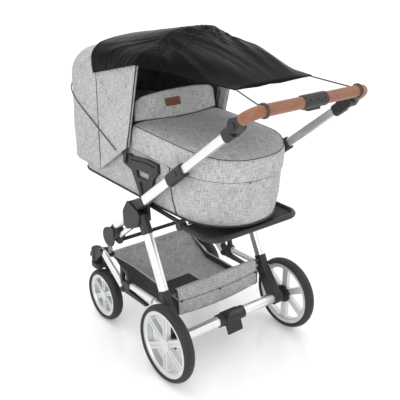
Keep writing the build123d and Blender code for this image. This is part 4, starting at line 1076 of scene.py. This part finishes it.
def filled(piece, voxel, pressure, reach):
    """Puffs a closed shell out under inner pressure, no point by more than reach."""
    remesh = piece.modifiers.new("even", "REMESH")
    remesh.mode = "VOXEL"
    remesh.voxel_size = voxel
    even = piece.data = applied(piece)
    before = [vertex.co.copy() for vertex in even.vertices]
    cloth = piece.modifiers.new("cloth", "CLOTH")
    cloth.settings.use_pressure = True
    cloth.settings.uniform_pressure_force = pressure
    cloth.settings.effector_weights.gravity = 0
    cloth.settings.quality = 5
    for step in range(1, 21):
        bpy.context.scene.frame_set(step)
    swollen = applied(piece)
    for vertex, old in zip(swollen.vertices, before):
        move = vertex.co - old
        if move.length > reach:
            vertex.co = old + move.normalized() * reach
    piece.data = swollen
    bpy.context.scene.frame_set(1)
    soft = piece.modifiers.new("soft", "SUBSURF")
    soft.levels = soft.render_levels = 1


MATTRESS_IN, MATTRESS_LOW, MATTRESS_ROUND = 23.0, 556.0, 121
mattress_rows = []
for inset, height in ((6, 0), (1.5, 2), (0, 6), (0, 39), (0, 72), (1.5, 76), (6, 78)):
    mattress_rows.append(cot_ring(MATTRESS_IN + inset, MATTRESS_LOW + height, MATTRESS_ROUND))
mattress_mesh = skin(mattress_rows)
cap_open_ends(mattress_mesh)
mattress = finished(mattress_mesh, "mattress_cushion", "seat_unit", MATTRESS_CLOTH)
filled(mattress, voxel=0.006, pressure=4.0, reach=0.005)
wear(mattress.data, MATTRESS_CLOTH)
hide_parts("mattress")
for height, word in ((8, "low"), (70, "high")):
    ring = cot_ring(MATTRESS_IN - 2, MATTRESS_LOW + height, MATTRESS_ROUND)
    piping(f"mattress_piping_{word}", ring[:-1], 1.8, "seat_unit", MATTRESS_CLOTH, closed=True)


# ---- basket ----
BASKET_HALF = 179.0
BASKET_ACROSS = 48


def basket_slack(x):
    """How slack the basket's cloth is at an X, from 0 at its edges to 1 in the middle."""
    return 1 - (x / BASKET_HALF) ** 2


basket_path = rounded_line(
    [(0, 121.5, 238), (0, 122.5, 269.5), (0, 139.5, 270.5), (0, 146, 240), (0, 149.5, 182), (0, 131, 165.8),
     (0, -147, 165.8), (0, -262.2, 238.0), (0, -262.2, 251.8), (0, -281.8, 251.8), (0, -281.8, 224.2)],
    [6, 6, 20, 13, 13, 20, 10, 8.8, 8.8], 150,
)
basket_rows = []
for point in basket_path:
    row = []
    for u in side_to_side(BASKET_ACROSS):
        slack = 1 - u * u
        low = held((250 - point.z) / 60)
        behind = point.y > 120
        sag = 9 * slack * low * (1.2 if behind else 0.8)
        out = 3.0 * slack * low if behind else 0.0
        crease = noise.noise(Vector((u * 2.6, point.y / 90, point.z / 60))) * 2.6
        moved = Vector((u * BASKET_HALF, out + crease * 0.5, crease * 0.6 * low - sag))
        row.append(point + moved)
    basket_rows.append(row)
basket = finished(skin(basket_rows), "basket_cloth", None, BASKET_CLOTH)
thicken(basket, 0.002, 0.0)
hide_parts("basket")


def follow_rear_rail(piece):
    """Bakes a piece of the basket, whose rear hangs from a rail on the rear legs, into its own mesh, without
    a body.
    """
    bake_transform(piece)


follow_rear_rail(basket)
for column, word in ((BASKET_ACROSS, "left"), (0, "right")):
    edge = [row[column] for row in basket_rows]
    follow_rear_rail(piping(f"basket_edge_binding_{word}", edge[4:], 2.2, None))
rear_seam = [
    Vector((x, 150.5 + 3 * basket_slack(x), 232 - 8 * basket_slack(x))) for x in range(-176, 177, 8)
]
piping("basket_rear_seam", rear_seam, 0.8, "rear_legs")


def snap_button(name, place, radius, body):
    """Small domed snap with a rolled edge, facing the foot end."""
    mesh = bmesh.new()
    bmesh.ops.create_cone(
        mesh, cap_ends=True, segments=20, radius1=radius, radius2=radius * 0.72, depth=radius * 0.5
    )
    bevelled(mesh, [e for e in mesh.edges if e.calc_face_angle(0) > 0.6], radius * 0.14, 2)
    turn = Vector((0, 0, 1)).rotation_difference(Vector((0, 1, 0))).to_matrix()
    bmesh.ops.rotate(mesh, cent=(0, 0, 0), matrix=turn, verts=mesh.verts)
    bmesh.ops.translate(mesh, vec=place, verts=mesh.verts)
    return finished(mesh, name, body, BLACK_PLASTIC)


for x, word in ((168, "left"), (2, "middle"), (-168, "right")):
    place = (x, 152.5 + 3 * basket_slack(x), 230 - 8 * basket_slack(x))
    snap_button(f"basket_snap_{word}", place, 4.5, "rear_legs")
snap_button("apron_snap", (53, 348.4, 691), 3.2, "seat_unit")


# ---- grey facing inside the hood's front edge, and its trims ----
facing_rows = [front_row(1.2, 0.5), front_row(5, -1.0), front_row(9.5, 1.5), front_row(10.5, 8)]
facing_rows += [front_row(10.5 + 0.12 * step, 8 + 4.2 * step) for step in range(1, 9)]
facing = finished(skin(facing_rows), "hood_front_facing", "hood_front", GREY_CLOTH)
thicken(facing, 0.0007)
piping("hood_lining_elastic", front_row(12.6, 44), 4.0, "hood_front", LINING_CLOTH_PAINTED_LIGHTER)
piping("hood_back_piping", between_rows(back_keys, HOOD_BACK_RUN, 62), 1.5, "seat_unit")


# ---- black net of the basket: side panels with a bound top, and a pocket ----
SLUMPED = 0.3             # share of its height that the right side's net keeps
SIDE_TOP = [(-265, 238), (-190, 246), (-110, 249), (0, 246), (84, 243), (147, 237)]
SIDE_FLOOR = [
    (-262, 236), (-205, 203), (-150, 167), (-60, 165.5), (60, 165.5), (130, 167), (148, 190), (148, 234),
]
floor_line, top_line = [flowing([(0, y, z) for y, z in line], 61) for line in (SIDE_FLOOR, SIDE_TOP)]
for side, word in SIDES:
    net_rows = []
    for j in range(13):
        t = j / 12
        lift = t if side > 0 else t * SLUMPED
        row = []
        for low, high in zip(floor_line, top_line):
            point = low.lerp(high, lift)
            slump = sin(pi * min(t, 0.999)) * 5.0 + 1.5 * noise.noise(Vector((point.y / 50, t * 3, side)))
            row.append(Vector((side * (BASKET_HALF + slump), point.y, point.z)))
        net_rows.append(row)
    net = finished(skin(net_rows), f"basket_side_net_{word}", None, NET)
    thicken(net, 0.0008, 0.0)
    hem = piping(f"basket_side_hem_{word}", net_rows[-1], 3.0, None, BASKET_CLOTH)
    for piece in (net, hem):
        follow_rear_rail(piece)
    depth, area = (0.086, 0.0292) if side > 0 else (0.028, 0.0106)
pocket_rows = [
    [Vector((x, y, 167.6 - 7.2 * basket_slack(x))) for x in range(-44, 141, 8)]
    for y in range(-88, 105, 8)
]
pocket = finished(skin(pocket_rows), "basket_floor_net", "chassis_base", NET)
thicken(pocket, 0.0008, 0.0)
pocket_edge = edge_of(list(zip(*pocket_rows)))
pocket_binding = piping("basket_floor_binding", pocket_edge, 2.4, "chassis_base", closed=True)


# ---- black cloth slung in the footrest's frame ----
SLING_HALF, SLING_REAR, SLING_CORNER, CORNER_Y = 180.0, 176, 40, 284
SLING_HEIGHT, SLING_SAG = 521, 13
sling_rows = []
for step in range(33):
    y = SLING_REAR + step * 4.62
    past = max(0.0, y - CORNER_Y)
    half = SLING_HALF - SLING_CORNER + sqrt(max(0.0, SLING_CORNER ** 2 - past ** 2))
    row = []
    for u in side_to_side(60):
        sag = SLING_SAG * (1 - abs(u) ** 2.5) * (1 - (past / 42) ** 2)
        crease = 1.5 * noise.noise(Vector((u * 4, y / 30, 8.0))) * (1 - u * u)
        row.append(Vector((half * u, y, SLING_HEIGHT - sag + crease)))
    sling_rows.append(row)
sling = finished(skin(sling_rows), "footrest_cloth", "footrest", SLING_CLOTH)
thicken(sling, 0.0018, 0.0)
sling_hem = piping("footrest_cloth_hem_rear", sling_rows[0], 2.2, "footrest", SLING_CLOTH)
